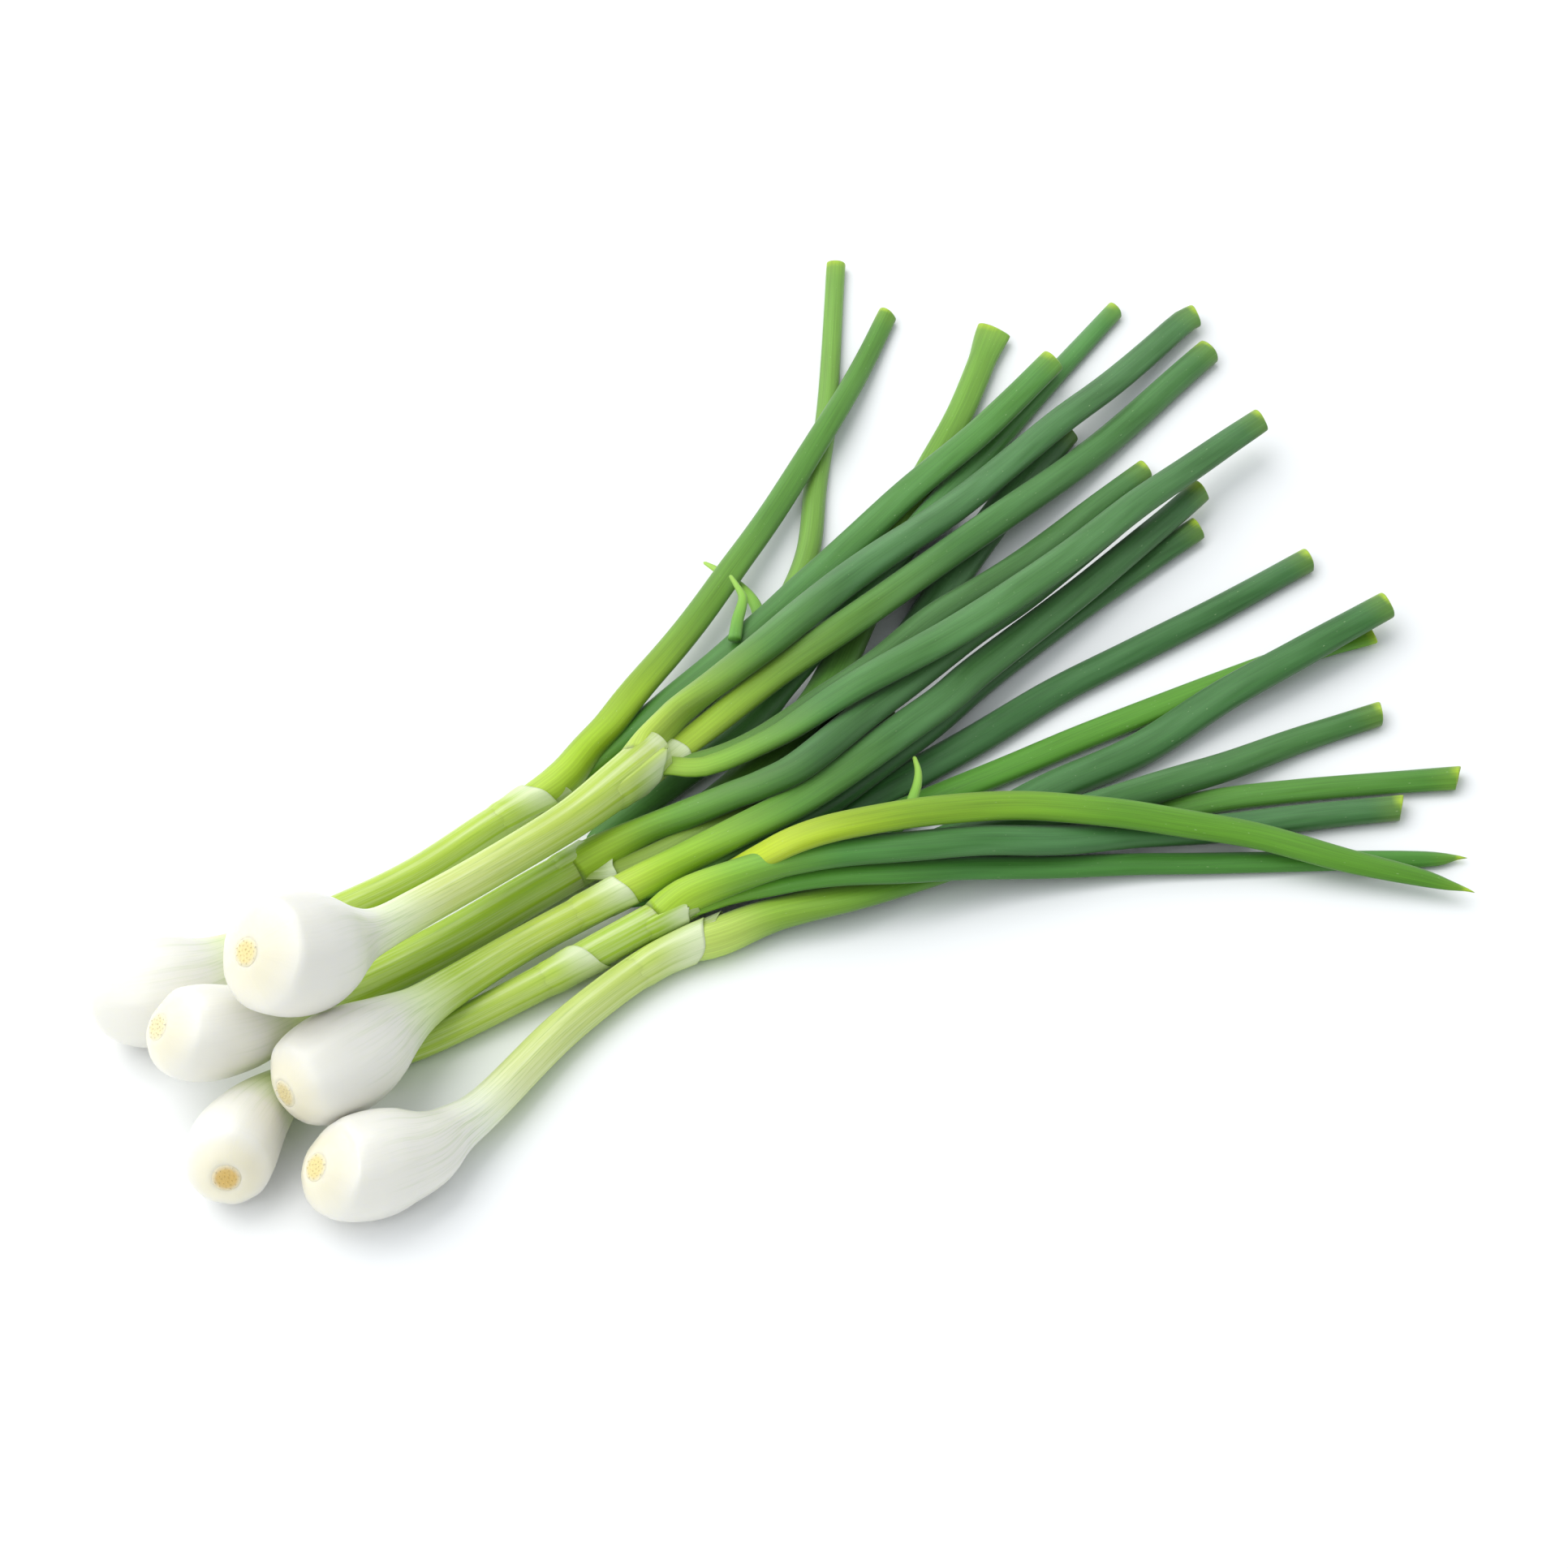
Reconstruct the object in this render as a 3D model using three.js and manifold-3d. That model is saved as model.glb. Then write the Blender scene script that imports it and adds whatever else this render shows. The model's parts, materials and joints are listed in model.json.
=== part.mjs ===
// A bunch of six spring onions lying loose on a table. Each plant has a white bulb that runs on
// into its stalk, a clipped root plate, and hollow leaves that leave the mouth of the stalk and
// lie over each other in a fan. Three short young shoots stand up between the leaves.
// Millimetres, Z up, +X along the bunch from the roots to the leaf tips. The origin is on the
// table, at the flat spot that the front bulb rests on.

import * as THREE from 'three';
import { mergeVertices } from 'three/addons/utils/BufferGeometryUtils.js';
import Module from 'manifold-3d';

const wasm = await Module();
wasm.setup();

// How the strands lie on each other
const STALK_STEP = 3;
const LEAF_STEP = 4;
const SHOOT_STEP = 4;
const STACK_GAP = 0.7;
const SIDE_GAP = 0.4;
const SAG = 0.03;
const SETTLING_ROUNDS = 600;
const EASING_ROUNDS = 4;
const SPLINE_STEPS = 20;

// How a leaf leaves its stalk: it starts inside, flattened, and opens out past the mouth.
// The first leaf of each plant fills the mouth and carries the stalk's round shape on.
const MOUTH_DEPTH = 8;
const MOUTH_HALF_WIDTH = 3.4;
const SHEATH_LENGTH = 34;
const OPENING_LENGTH = 40;
const LEAF_FLATNESS = 0.58;
const SHEATHED_FLATNESS = 0.34;
const FIRST_LEAF_FLATNESS = 0.92;
const SKIN_THICKNESS = 0.4;

// Hollow cut ends, the mouth's edge, and the gap kept where one piece meets another
const HOLLOW_DEPTH = 7;
const HOLLOW_SHARE = 0.7;
const MOUTH_ROUNDING = 1;
const MOUTH_EDGE_SHARE = 0.8;
const CUT_GAP = 0.3;
const SHORTEST_EDGE = 0.03;
const SAME_PLACE = 1e-4;

// Root plates as radius and height, with the clipped stubs of roots on them
const PLATE_PROFILE = [[0, 0], [2.4, 0], [3.2, 0.5], [2.9, 1.3], [1.2, 1.7], [0, 1.5]];
const STUB_COUNT = 4;
const STUB_RADIUS = 0.45;
const STUB_TAPER = 0.8;
const STUB_LENGTH = 2.4;
const STUB_HEIGHT = 1.5;
const STUB_UNEVENNESS = 0.2;
const STUB_REACHES = [2.1, 1.1];
const PLANT_TURN = 0.37;

// The table, a slab that cuts the resting spots flat
const TABLE_WIDTH = 1000;
const TABLE_DEPTH = 40;

// Sides of the sections and spacing of the rings that make the solids
const STALK_SIDES = 12;
const LEAF_SIDES = 8;
const SHOOT_SIDES = 6;
const PLATE_SIDES = 10;
const STUB_SIDES = 5;
const BULB_LENGTH = 34;
const BEND_LENGTH = 64;

// Bulb and stalk centrelines from the roots to the mouth: x, y, z, radius
const STALKS = {
  a: [[-3.6, 36.6, 46.8, 4.6], [-2.4, 36.7, 45.6, 9], [0.4, 36.7, 43.5, 12], [5.4, 36.5, 40.3, 13],
    [11, 36.8, 37.6, 12.7], [17, 37.7, 35, 10.4], [23, 38.6, 32.6, 6.6], [29.5, 40, 30, 4.8],
    [42, 44, 25.5, 4.4], [61, 49, 20.5, 4.3], [85, 54, 17, 4.5], [101, 58, 16, 5.2],
    [113, 61.2, 15.6, 5.7]],
  b: [[-21.6, 75.6, 7.8, 3.8], [-19.8, 73.4, 8.9, 8.4], [-16, 69.4, 10.9, 11.3], [-10, 66, 12, 12],
    [0, 64, 11, 9.4], [15, 67, 9, 5.4], [32, 68, 7, 4.2], [54, 69, 5.5, 4], [78, 73, 4.6, 4],
    [93, 73.8, 4.6, 4.2]],
  c: [[-21.5, 46.3, 25.8, 4.2], [-19.8, 45.8, 24.2, 7.8], [-16.5, 45, 22, 9.9], [-11, 43.5, 20, 10.3],
    [-3, 42.3, 17.6, 8.8], [5, 43, 15, 6.6], [16, 44.4, 11.5, 5.2], [28, 45.6, 8.6, 4.9],
    [50, 47.6, 6, 4.9], [73, 50, 5.2, 4.8], [90, 51, 5.2, 4.6]],
  d: [[-6.9, 19.3, 20.6, 4.6], [-4.2, 19.7, 20.2, 8.6], [0, 20.4, 19.7, 10.7], [6.8, 21.3, 19, 11.5],
    [14, 22.6, 18, 10.6], [22, 25.4, 16.2, 7.8], [31, 28.7, 13.5, 5.3], [42, 32, 11, 4.4], [63, 36, 8, 3.9],
    [84, 36, 8.6, 3.9], [89, 35.5, 9.1, 4]],
  e: [[-25.6, 13, 12.4, 4.6], [-24.5, 14.8, 11.6, 7.8], [-22.4, 17.8, 10.4, 9.3], [-18, 22.6, 9.4, 9.5],
    [-9, 28.6, 7.4, 7.4], [2, 33, 4.9, 4.4], [15, 32, 3.8, 3.6], [30, 28, 3.8, 3.6], [57, 27, 4.4, 3.8],
    [78, 26.4, 6.2, 3.9], [96, 25.4, 8.2, 4]],
  f: [[-10.2, 2, 16, 4.4], [-8.6, 1.8, 14.5, 8], [-5.6, 1, 12.5, 10.3], [0, 0, 11.1, 11.4],
    [6, -1, 10.6, 10.9], [13, -2, 9.6, 8.6], [21, 0, 8, 5.8], [32, 3, 6.5, 4.4], [58, 13, 4.6, 4.1],
    [83, 18, 4.2, 4], [100, 17, 4.4, 4.2]],
};

// Leaf centrelines seen from above, from the mouth to the cut tip: x, y, half width.
// A leaf named pointed keeps its own tip, and the others are cut square across.
const LEAVES = {
  a1: { shade: 'dark', route: [[112.3, 63.7, 3.2], [119, 66.8, 3.1], [130, 71, 3.5], [156, 76, 4.3],
    [185, 85, 4.4], [215, 92, 4.2], [246, 101, 4], [278, 110, 3.9], [314, 122, 3.6], [321, 123, 3.5]] },
  a2: { shade: 'middle', route: [[113.5, 59.5, 3.4], [130, 64, 3.7], [152, 70, 4.1], [178, 74, 4.2],
    [208, 82, 4.2], [240, 89, 4.2], [269, 97, 4], [302, 107, 3.8], [316, 111, 3.6]] },
  a3: { shade: 'dark', route: [[114, 57, 2.8], [121, 51.5, 2.9], [137, 49, 3], [148, 49, 3.4],
    [172, 51, 4.1], [198, 54, 4.3], [226, 59, 4.2], [257, 67, 4], [287, 74, 3.7], [304, 77, 3.3]] },
  a4: { shade: 'middle', route: [[115, 57, 2.6], [130, 54, 3.2], [147, 55, 3.7], [174, 61, 3.9],
    [197, 68, 3.9], [226, 74, 3.7], [256, 81, 3.4], [275, 85, 3]] },
  b1: { shade: 'light', route: [[97, 75, 4], [107, 79, 3.8], [116, 82, 3.8], [132, 90, 3.7],
    [151, 100, 3.6], [172, 112, 3.5], [198, 128, 3.3], [226, 146, 3], [258, 170, 2.5]] },
  b2: { shade: 'middle', route: [[97, 75, 2.6], [111, 77, 3.5], [124, 79, 3.9], [137, 82, 4],
    [151, 85, 4.1], [165, 89, 4.1], [181, 95, 4.1], [212, 105, 4], [243, 114, 3.9], [278, 127, 3.5]] },
  b3: { shade: 'light', route: [[97, 74, 2.4], [116, 78, 3.2], [137, 82, 3.2], [158, 88, 3.1], [175, 97, 3],
    [190, 109, 2.9], [205, 127, 2.8], [225, 150, 2.6], [259, 194, 2.4]] },
  c1: { shade: 'dark', route: [[92, 50, 4], [103, 48, 3.5], [112, 45, 3.9], [121, 42, 3.9], [130, 39, 4],
    [141, 39, 4.1], [168, 47, 4], [197, 55, 3.8], [220, 59, 3.5], [258, 69, 2.8]] },
  c2: { shade: 'dark', route: [[91, 53, 2.4], [95, 55.8, 3.2], [101, 58, 3.6], [110, 60, 3.6],
    [122, 62.5, 3.6], [142, 66, 3.8], [155, 71, 3.8], [166, 75, 3.8], [195, 87, 3.7], [232, 106, 3.4],
    [268, 122, 3], [307, 138, 2.5]] },
  c3: { shade: 'light', route: [[90, 48, 2.6], [103, 48, 3.4], [121, 48, 3.8], [143, 54, 4.2],
    [162, 63, 4.3], [185, 81, 4.3], [207, 98, 4.1], [229, 114, 3.7], [251, 129, 3.5], [276, 149, 3.5]] },
  c4: { shade: 'middle', route: [[90, 45, 2.6], [99, 42, 3.2], [109, 41, 3.4], [121, 41, 3.4],
    [136, 44, 3.2], [154, 47, 3], [172, 50, 2.6]] },
  d1: { shade: 'dark', route: [[95, 35, 3.8], [105, 34, 3.9], [126, 32, 4.3], [150, 35, 4.4],
    [177, 41, 4.5], [192, 46, 4.4], [207, 50, 4.2], [237, 57, 3.8], [279, 69, 3.2]] },
  d2: { shade: 'dark', route: [[95, 33, 2.6], [114, 32, 3.6], [137, 33, 4], [150, 35, 4.1], [172, 40, 4.1],
    [193, 47, 4.1], [209, 51, 4], [237, 56, 3.7], [272, 61, 3.2]] },
  d3: { shade: 'dark', route: [[94, 33, 2.6], [114, 31, 3.4], [136, 32, 3.9], [160, 33, 4.2],
    [184, 34, 4.2], [209, 36, 4], [233, 36, 3.8], [258, 36, 3.6], [287, 37, 3.3]] },
  d4: { shade: 'dark', route: [[96, 37, 2.6], [109, 41, 3.4], [130, 48, 4], [152, 53, 4.3], [170, 60, 4.4],
    [191, 69, 4.4], [211, 80, 4.4], [236, 93, 4.4], [267, 108, 4.3]] },
  e1: { shade: 'dark', route: [[97, 26, 3.8], [105, 24, 3.9], [117, 20, 4.1], [125, 16, 4.1], [142, 8, 4.1],
    [159, 1, 4.1], [176, -7, 4.1], [194, -13, 4], [212, -21, 3.9], [229, -28, 3.7], [251, -39, 3.4]] },
  e2: { shade: 'middle', pointed: true, route: [[97, 24, 2.6], [107, 22, 3.2], [116, 18, 3.4],
    [124, 14, 3.4], [140, 5, 3.3], [157, -2, 3.2], [174, -10, 3.1], [190, -18, 3], [206, -28, 2.9],
    [229, -43, 2.7], [246, -54, 2.1], [252, -58, 0.5]] },
  e3: { shade: 'middle', route: [[99, 28, 2.6], [121, 26, 3.3], [143, 25, 3.5], [165, 24, 3.6],
    [186, 22, 3.6], [208, 20, 3.6], [242, 16, 3.4], [264, 13, 3.1], [283, 9, 2.6]] },
  e4: { shade: 'middle', route: [[97, 26, 2.4], [118, 21, 3.2], [135, 14, 3.6], [153, 8, 3.8], [168, 4, 4],
    [181, 0, 4.1], [201, -4, 4.2], [223, -7, 4], [245, -9, 3.6], [267, -13, 3.2]] },
  e5: { shade: 'yellow', pointed: true, route: [[99, 26, 2.6], [105, 25, 3], [112, 23, 3.4], [117, 21, 3.6],
    [135, 15, 3.8], [154, 10, 4], [172, 3, 4], [187, -7, 4], [201, -18, 3.9], [215, -30, 3.6],
    [227, -45, 3.3], [239, -59, 2.4], [245, -68, 0.5]] },
  f1: { shade: 'middle', route: [[100, 16, 4], [113, 14, 4], [130, 8, 4.2], [146, 5, 4], [160, 3, 3.8],
    [180, -1, 3.6], [200, -7, 3.4], [218, -13, 3.3], [235, -21, 3.2], [252, -30, 3.1], [268, -39, 3.2]] },
  f2: { shade: 'dark', route: [[101, 18, 2.6], [124, 14, 3.6], [145, 13, 4.2], [167, 11, 4.5],
    [190, 11, 4.5], [212, 9, 4.5], [236, 10, 4.4], [261, 10, 4.2], [289, 11, 3.7]] },
};

// Young shoots lying between the leaves: x, y, half width
const SHOOTS = {
  shoot_1: [[162, 88, 1.6], [167, 98, 1.5], [168, 106, 1.3], [167, 114, 1], [166, 118, 0.5]],
  shoot_2: [[152, 85, 1.6], [158, 92, 1.4], [162, 96, 1.1], [164, 104, 0.5]],
  shoot_3: [[146, 14, 1.6], [152, 17, 1.5], [158, 22, 1.2], [162, 26, 0.9], [164.5, 31, 0.5]],
};

// The order of laying, from the table up
const LAYING = ['b', 'e', 'f', 'c', 'd', 'd4', 'b3', 'c3', 'c4', 'd3', 'e3', 'f2', 'f1', 'd2', 'e4', 'c2',
  'shoot_1', 'd1', 'b2', 'c1', 'e2', 'a', 'a4', 'shoot_3', 'a3', 'a2', 'e1', 'a1', 'e5', 'b1', 'shoot_2'];

const FINISHES = {
  bulb: new THREE.MeshStandardMaterial({ color: 0xeef0dc, roughness: 0.35, metalness: 0 }),
  root: new THREE.MeshStandardMaterial({ color: 0xdcc48a, roughness: 0.85, metalness: 0 }),
  dark: new THREE.MeshStandardMaterial({ color: 0x3f7347, roughness: 0.5, metalness: 0 }),
  middle: new THREE.MeshStandardMaterial({ color: 0x5c963f, roughness: 0.5, metalness: 0 }),
  light: new THREE.MeshStandardMaterial({ color: 0x8fbf4a, roughness: 0.5, metalness: 0 }),
  yellow: new THREE.MeshStandardMaterial({ color: 0xb4cc3a, roughness: 0.5, metalness: 0 }),
};

// Even stations along the smooth curve through the rows, each with the row's two further values
function stationsAlong(rows, step) {
  const plan = new THREE.SplineCurve(rows.map(([x, y]) => new THREE.Vector2(x, y)));
  const rest = new THREE.SplineCurve(rows.map(([, , third, fourth = 0]) => new THREE.Vector2(third, fourth)));
  const count = SPLINE_STEPS * (rows.length - 1);
  const fine = [];
  let way = 0;
  for (let i = 0; i <= count; i += 1) {
    const place = plan.getPoint(i / count);
    if (i > 0) way += place.distanceTo(fine[i - 1].place);
    fine.push({ place, values: rest.getPoint(i / count), way });
  }
  const stationCount = Math.round(way / step);
  const stations = [];
  let next = 1;
  for (let k = 0; k <= stationCount; k += 1) {
    const wanted = (way * k) / stationCount;
    while (next < count && fine[next].way < wanted) next += 1;
    const [before, after] = [fine[next - 1], fine[next]];
    const share = (wanted - before.way) / (after.way - before.way);
    const place = before.place.clone().lerp(after.place, share);
    const values = before.values.clone().lerp(after.values, share);
    stations.push({ x: place.x, y: place.y, way: wanted, third: values.x, fourth: values.y });
  }
  return stations;
}

// The height a station needs to lie clear on top of everything laid before it
function heightNeeded(strand, station, laid) {
  let height = station.thick;
  for (const other of laid) {
    const sibling = other.plant === strand.plant;
    if (sibling && (!strand.leaf || !other.leaf || station.way < SHEATH_LENGTH)) continue;
    for (const under of other.stations) {
      if (sibling && under.way < SHEATH_LENGTH) continue;
      const reach = station.half + under.half + SIDE_GAP;
      const apart = Math.hypot(station.x - under.x, station.y - under.y);
      if (apart >= reach) continue;
      const rise = station.thick + under.thick + STACK_GAP;
      height = Math.max(height, under.z + rise * Math.sqrt(1 - (apart / reach) ** 2));
    }
  }
  return height;
}

// A limp strand comes down on what lies below it: it hangs between its foot and its supports
function settle(strand, laid, mouthHeight) {
  const needed = strand.stations.map((station) => heightNeeded(strand, station, laid));
  const foot = mouthHeight ?? needed[0];
  let heights = needed.map((height) => Math.max(height, foot));
  const last = heights.length - 1;
  for (let round = 0; round < SETTLING_ROUNDS; round += 1) {
    const now = heights;
    heights = now.map((height, i) => {
      if (i === 0) return foot;
      const slack = i === last ? now[i - 1] - SAG : (now[i - 1] + now[i + 1]) / 2 - SAG;
      return Math.max(slack, needed[i]);
    });
  }
  for (let round = 0; round < EASING_ROUNDS; round += 1) {
    const now = heights;
    heights = now.map((height, i) => {
      if (i === 0 || i === last) return height;
      return Math.max((now[i - 1] + 2 * height + now[i + 1]) / 4, strand.stations[i].thick);
    });
  }
  strand.stations.forEach((station, i) => {
    station.z = heights[i];
  });
}

function layStalk(plant) {
  const stations = stationsAlong(STALKS[plant].map(([x, y, z, radius]) => [x, y, radius, z]), STALK_STEP);
  for (const station of stations) {
    station.half = station.third;
    station.thick = station.third;
    station.z = station.fourth;
  }
  return { plant, leaf: false, stations };
}

function isFirstLeaf(name) {
  return Boolean(LEAVES[name]) && name.endsWith('1');
}

function layLeaf(name, stalk, laid) {
  const total = stalk.stations.at(-1).way;
  const foot = stalk.stations.find((station) => station.way >= total - MOUTH_DEPTH);
  const { route } = LEAVES[name];
  const first = isFirstLeaf(name);
  const startHalf = first ? foot.half - SKIN_THICKNESS : Math.min(MOUTH_HALF_WIDTH, route[0][2]);
  const startFlatness = first ? FIRST_LEAF_FLATNESS : SHEATHED_FLATNESS;
  const start = [foot.x, foot.y, startHalf];
  const strand = { plant: name[0], leaf: true, stations: stationsAlong([start, ...route], LEAF_STEP) };
  for (const station of strand.stations) {
    const opened = THREE.MathUtils.smoothstep(station.way, 0, OPENING_LENGTH);
    station.half = station.third;
    station.thick = station.half * THREE.MathUtils.lerp(startFlatness, LEAF_FLATNESS, opened);
  }
  settle(strand, laid, foot.z);
  return strand;
}

function layShoot(name, laid) {
  const strand = { plant: name, leaf: true, stations: stationsAlong(SHOOTS[name], SHOOT_STEP) };
  for (const station of strand.stations) {
    station.half = station.third;
    station.thick = station.half * LEAF_FLATNESS;
  }
  settle(strand, laid);
  return strand;
}

// Centre, side, top and size of the section at a way along the strand
function sectionAt(strand, way) {
  const { stations } = strand;
  const last = stations.length - 1;
  const step = stations[1].way;
  const i = THREE.MathUtils.clamp(Math.floor(way / step), 0, last - 1);
  const share = way / step - i;
  const point = (k) => new THREE.Vector3(stations[k].x, stations[k].y, stations[k].z);
  const heading = (k) => point(Math.min(k + 1, last)).sub(point(Math.max(k - 1, 0))).normalize();
  const along = heading(i).lerp(heading(i + 1), THREE.MathUtils.clamp(share, 0, 1)).normalize();
  const side = new THREE.Vector3(along.y, -along.x, 0).normalize();
  return {
    centre: point(i).lerp(point(i + 1), share),
    side,
    top: side.clone().cross(along),
    half: THREE.MathUtils.lerp(stations[i].half, stations[i + 1].half, THREE.MathUtils.clamp(share, 0, 1)),
    thick: THREE.MathUtils.lerp(stations[i].thick, stations[i + 1].thick, THREE.MathUtils.clamp(share, 0, 1)),
  };
}

function solidOf(geometry) {
  geometry.deleteAttribute('normal');
  geometry.deleteAttribute('uv');
  const merged = mergeVertices(geometry, SAME_PLACE);
  const { array } = merged.index;
  const corners = [];
  for (let i = 0; i < array.length; i += 3) {
    const [a, b, c] = [array[i], array[i + 1], array[i + 2]];
    if (a !== b && b !== c && c !== a) corners.push(a, b, c);
  }
  return new wasm.Manifold(new wasm.Mesh({
    numProp: 3,
    vertProperties: new Float32Array(merged.getAttribute('position').array),
    triVerts: new Uint32Array(corners),
  }));
}

// A turned profile, share of the section against way, bent to lie along a strand
function bentSolid(strand, profile, sides, swell = 0) {
  const turned = new THREE.LatheGeometry(profile.map(([share, way]) => new THREE.Vector2(share, way)), sides);
  const places = turned.getAttribute('position');
  for (let i = 0; i < places.count; i += 1) {
    const section = sectionAt(strand, places.getY(i));
    const point = section.centre
      .addScaledVector(section.side, places.getX(i) * (section.half + swell))
      .addScaledVector(section.top, places.getZ(i) * (section.thick + swell));
    places.setXYZ(i, point.x, point.y, point.z);
  }
  return solidOf(turned);
}

// Ways at which a strand gets a ring: close together in the first stretch, then further apart
function ringWays(strand, closeLength, closeEvery, farEvery, swell) {
  const last = strand.stations.length - 1;
  const ways = [-swell];
  let i = closeEvery;
  while (i < last) {
    ways.push(strand.stations[i].way);
    i += strand.stations[i].way < closeLength ? closeEvery : farEvery;
  }
  ways.push(strand.stations[last].way + swell);
  return ways;
}

function stalkSolid(strand, swell = 0) {
  const ways = ringWays(strand, BULB_LENGTH, 1, 3, swell);
  const end = ways.at(-1) + MOUTH_ROUNDING;
  const wall = ways.map((way) => [1, way]);
  return bentSolid(strand, [[0, -swell], ...wall, [MOUTH_EDGE_SHARE, end], [0, end]], STALK_SIDES, swell);
}

function leafSolid(strand, pointed, swell = 0) {
  const ways = ringWays(strand, BEND_LENGTH, 2, 4, swell);
  const end = ways.at(-1);
  const wall = ways.map((way) => [1, way]);
  const hollow = [[HOLLOW_SHARE, end], [HOLLOW_SHARE, end - HOLLOW_DEPTH], [0, end - HOLLOW_DEPTH]];
  const close = pointed || swell > 0 ? [[0, end]] : hollow;
  return bentSolid(strand, [[0, -swell], ...wall, ...close], LEAF_SIDES, swell);
}

function shootSolid(strand, swell = 0) {
  const ways = ringWays(strand, 0, 1, 1, swell);
  const wall = ways.map((way) => [1, way]);
  return bentSolid(strand, [[0, -swell], ...wall, [0, ways.at(-1)]], SHOOT_SIDES, swell);
}

// A tan disc with clipped root stubs, seated on the end of the bulb
function rootSolid(strand, seed) {
  const disc = new THREE.LatheGeometry(PLATE_PROFILE.map(([r, y]) => new THREE.Vector2(r, y)), PLATE_SIDES);
  let solid = solidOf(disc);
  for (let k = 0; k < STUB_COUNT; k += 1) {
    const angle = (k + PLANT_TURN * seed) * (2 * Math.PI / STUB_COUNT);
    const reach = STUB_REACHES[k % 2];
    const stub = new THREE.CylinderGeometry(STUB_RADIUS * STUB_TAPER, STUB_RADIUS, STUB_LENGTH, STUB_SIDES);
    const height = STUB_HEIGHT + STUB_UNEVENNESS * Math.cos(2 * angle);
    stub.translate(reach * Math.cos(angle), height, reach * Math.sin(angle));
    solid = solid.add(solidOf(stub));
  }
  const section = sectionAt(strand, 0);
  const outward = section.side.clone().cross(section.top);
  const turn = new THREE.Matrix4().makeBasis(section.side, outward, section.top.negate());
  turn.setPosition(section.centre.addScaledVector(outward, CUT_GAP));
  return solid.transform(turn.elements);
}

const tableBox = new THREE.BoxGeometry(TABLE_WIDTH, TABLE_WIDTH, TABLE_DEPTH);
const table = solidOf(tableBox.translate(0, 0, -TABLE_DEPTH / 2));

function largestPiece(solid) {
  return solid.decompose().reduce((best, piece) => (piece.volume() > best.volume() ? piece : best));
}

function meshOf(name, solid, finish) {
  const { vertProperties, triVerts, numProp } = solid.getMesh();
  const places = new Float32Array((vertProperties.length / numProp) * 3);
  for (let i = 0; i < places.length / 3; i += 1) {
    places.set(vertProperties.subarray(i * numProp, i * numProp + 3), i * 3);
  }
  const geometry = new THREE.BufferGeometry();
  geometry.setAttribute('position', new THREE.BufferAttribute(places, 3));
  geometry.setIndex(new THREE.BufferAttribute(new Uint32Array(triVerts), 1));
  const mesh = new THREE.Mesh(geometry, FINISHES[finish]);
  mesh.name = name;
  return mesh;
}

const bunch = new THREE.Group();
const taken = [];

// Adds a piece, cut clear of each one already there that it would run into
function place(name, solid, swollen, finish) {
  const inTheWay = taken.filter((other) => other.solid.intersect(solid).volume() > 0);
  const clear = inTheWay.reduce((rest, other) => rest.subtract(other.swollen), solid);
  const placed = largestPiece(clear.subtract(table)).simplify(SHORTEST_EDGE);
  bunch.add(meshOf(name, placed, finish));
  taken.push({ solid: placed, swollen });
}

const stalks = Object.fromEntries(Object.keys(STALKS).map((plant) => [plant, layStalk(plant)]));
const strands = new Map();
for (const name of LAYING) {
  const laid = [...strands.values()];
  if (STALKS[name]) strands.set(name, stalks[name]);
  else if (SHOOTS[name]) strands.set(name, layShoot(name, laid));
  else strands.set(name, layLeaf(name, stalks[name[0]], laid));
}

// Stalks keep their full shape, then first leaves, and the others give way to them
for (const plant of Object.keys(STALKS)) {
  const strand = strands.get(plant);
  place(`stalk_${plant}`, stalkSolid(strand), stalkSolid(strand, CUT_GAP), 'bulb');
  bunch.add(meshOf(`roots_${plant}`, rootSolid(strand, plant.charCodeAt(0)), 'root'));
}
const leafNames = LAYING.filter((name) => LEAVES[name]);
const leafOrder = leafNames.sort((one, other) => isFirstLeaf(other) - isFirstLeaf(one));
for (const name of leafOrder) {
  const { pointed, shade } = LEAVES[name];
  const strand = strands.get(name);
  place(`leaf_${name}`, leafSolid(strand, pointed), leafSolid(strand, pointed, CUT_GAP), shade);
}
for (const name of Object.keys(SHOOTS)) {
  const strand = strands.get(name);
  place(name, shootSolid(strand), shootSolid(strand, CUT_GAP), 'light');
}

export default bunch;
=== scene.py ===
"""A bunch of six spring onions lying loose on a white table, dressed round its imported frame.

Each plant has a white bulb that runs on into a striped stalk, a tan root plate with clipped roots,
thin pale skins where the stalk ends, and hollow green leaves that lie over each other in a fan.
The strands follow the routes that the frame's solids follow, so each piece lies where its solid is.
"""

import json
import math

import bpy
import numpy as np
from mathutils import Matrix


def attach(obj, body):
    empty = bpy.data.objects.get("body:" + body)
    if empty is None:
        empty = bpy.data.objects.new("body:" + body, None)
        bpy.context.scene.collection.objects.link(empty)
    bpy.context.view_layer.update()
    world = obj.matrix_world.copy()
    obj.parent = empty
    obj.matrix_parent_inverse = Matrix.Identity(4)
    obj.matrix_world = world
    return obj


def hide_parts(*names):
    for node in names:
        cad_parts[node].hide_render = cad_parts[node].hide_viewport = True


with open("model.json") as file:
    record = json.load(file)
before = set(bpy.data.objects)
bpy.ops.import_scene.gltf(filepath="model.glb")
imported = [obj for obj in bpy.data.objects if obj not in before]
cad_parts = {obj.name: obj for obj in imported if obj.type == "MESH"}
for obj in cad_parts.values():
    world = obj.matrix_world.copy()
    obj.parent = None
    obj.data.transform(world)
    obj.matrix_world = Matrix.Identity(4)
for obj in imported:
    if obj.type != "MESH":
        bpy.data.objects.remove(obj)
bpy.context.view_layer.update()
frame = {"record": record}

# Lengths below are in millimetres, and each mesh is brought to metres when it is made
MM = 0.001

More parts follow.
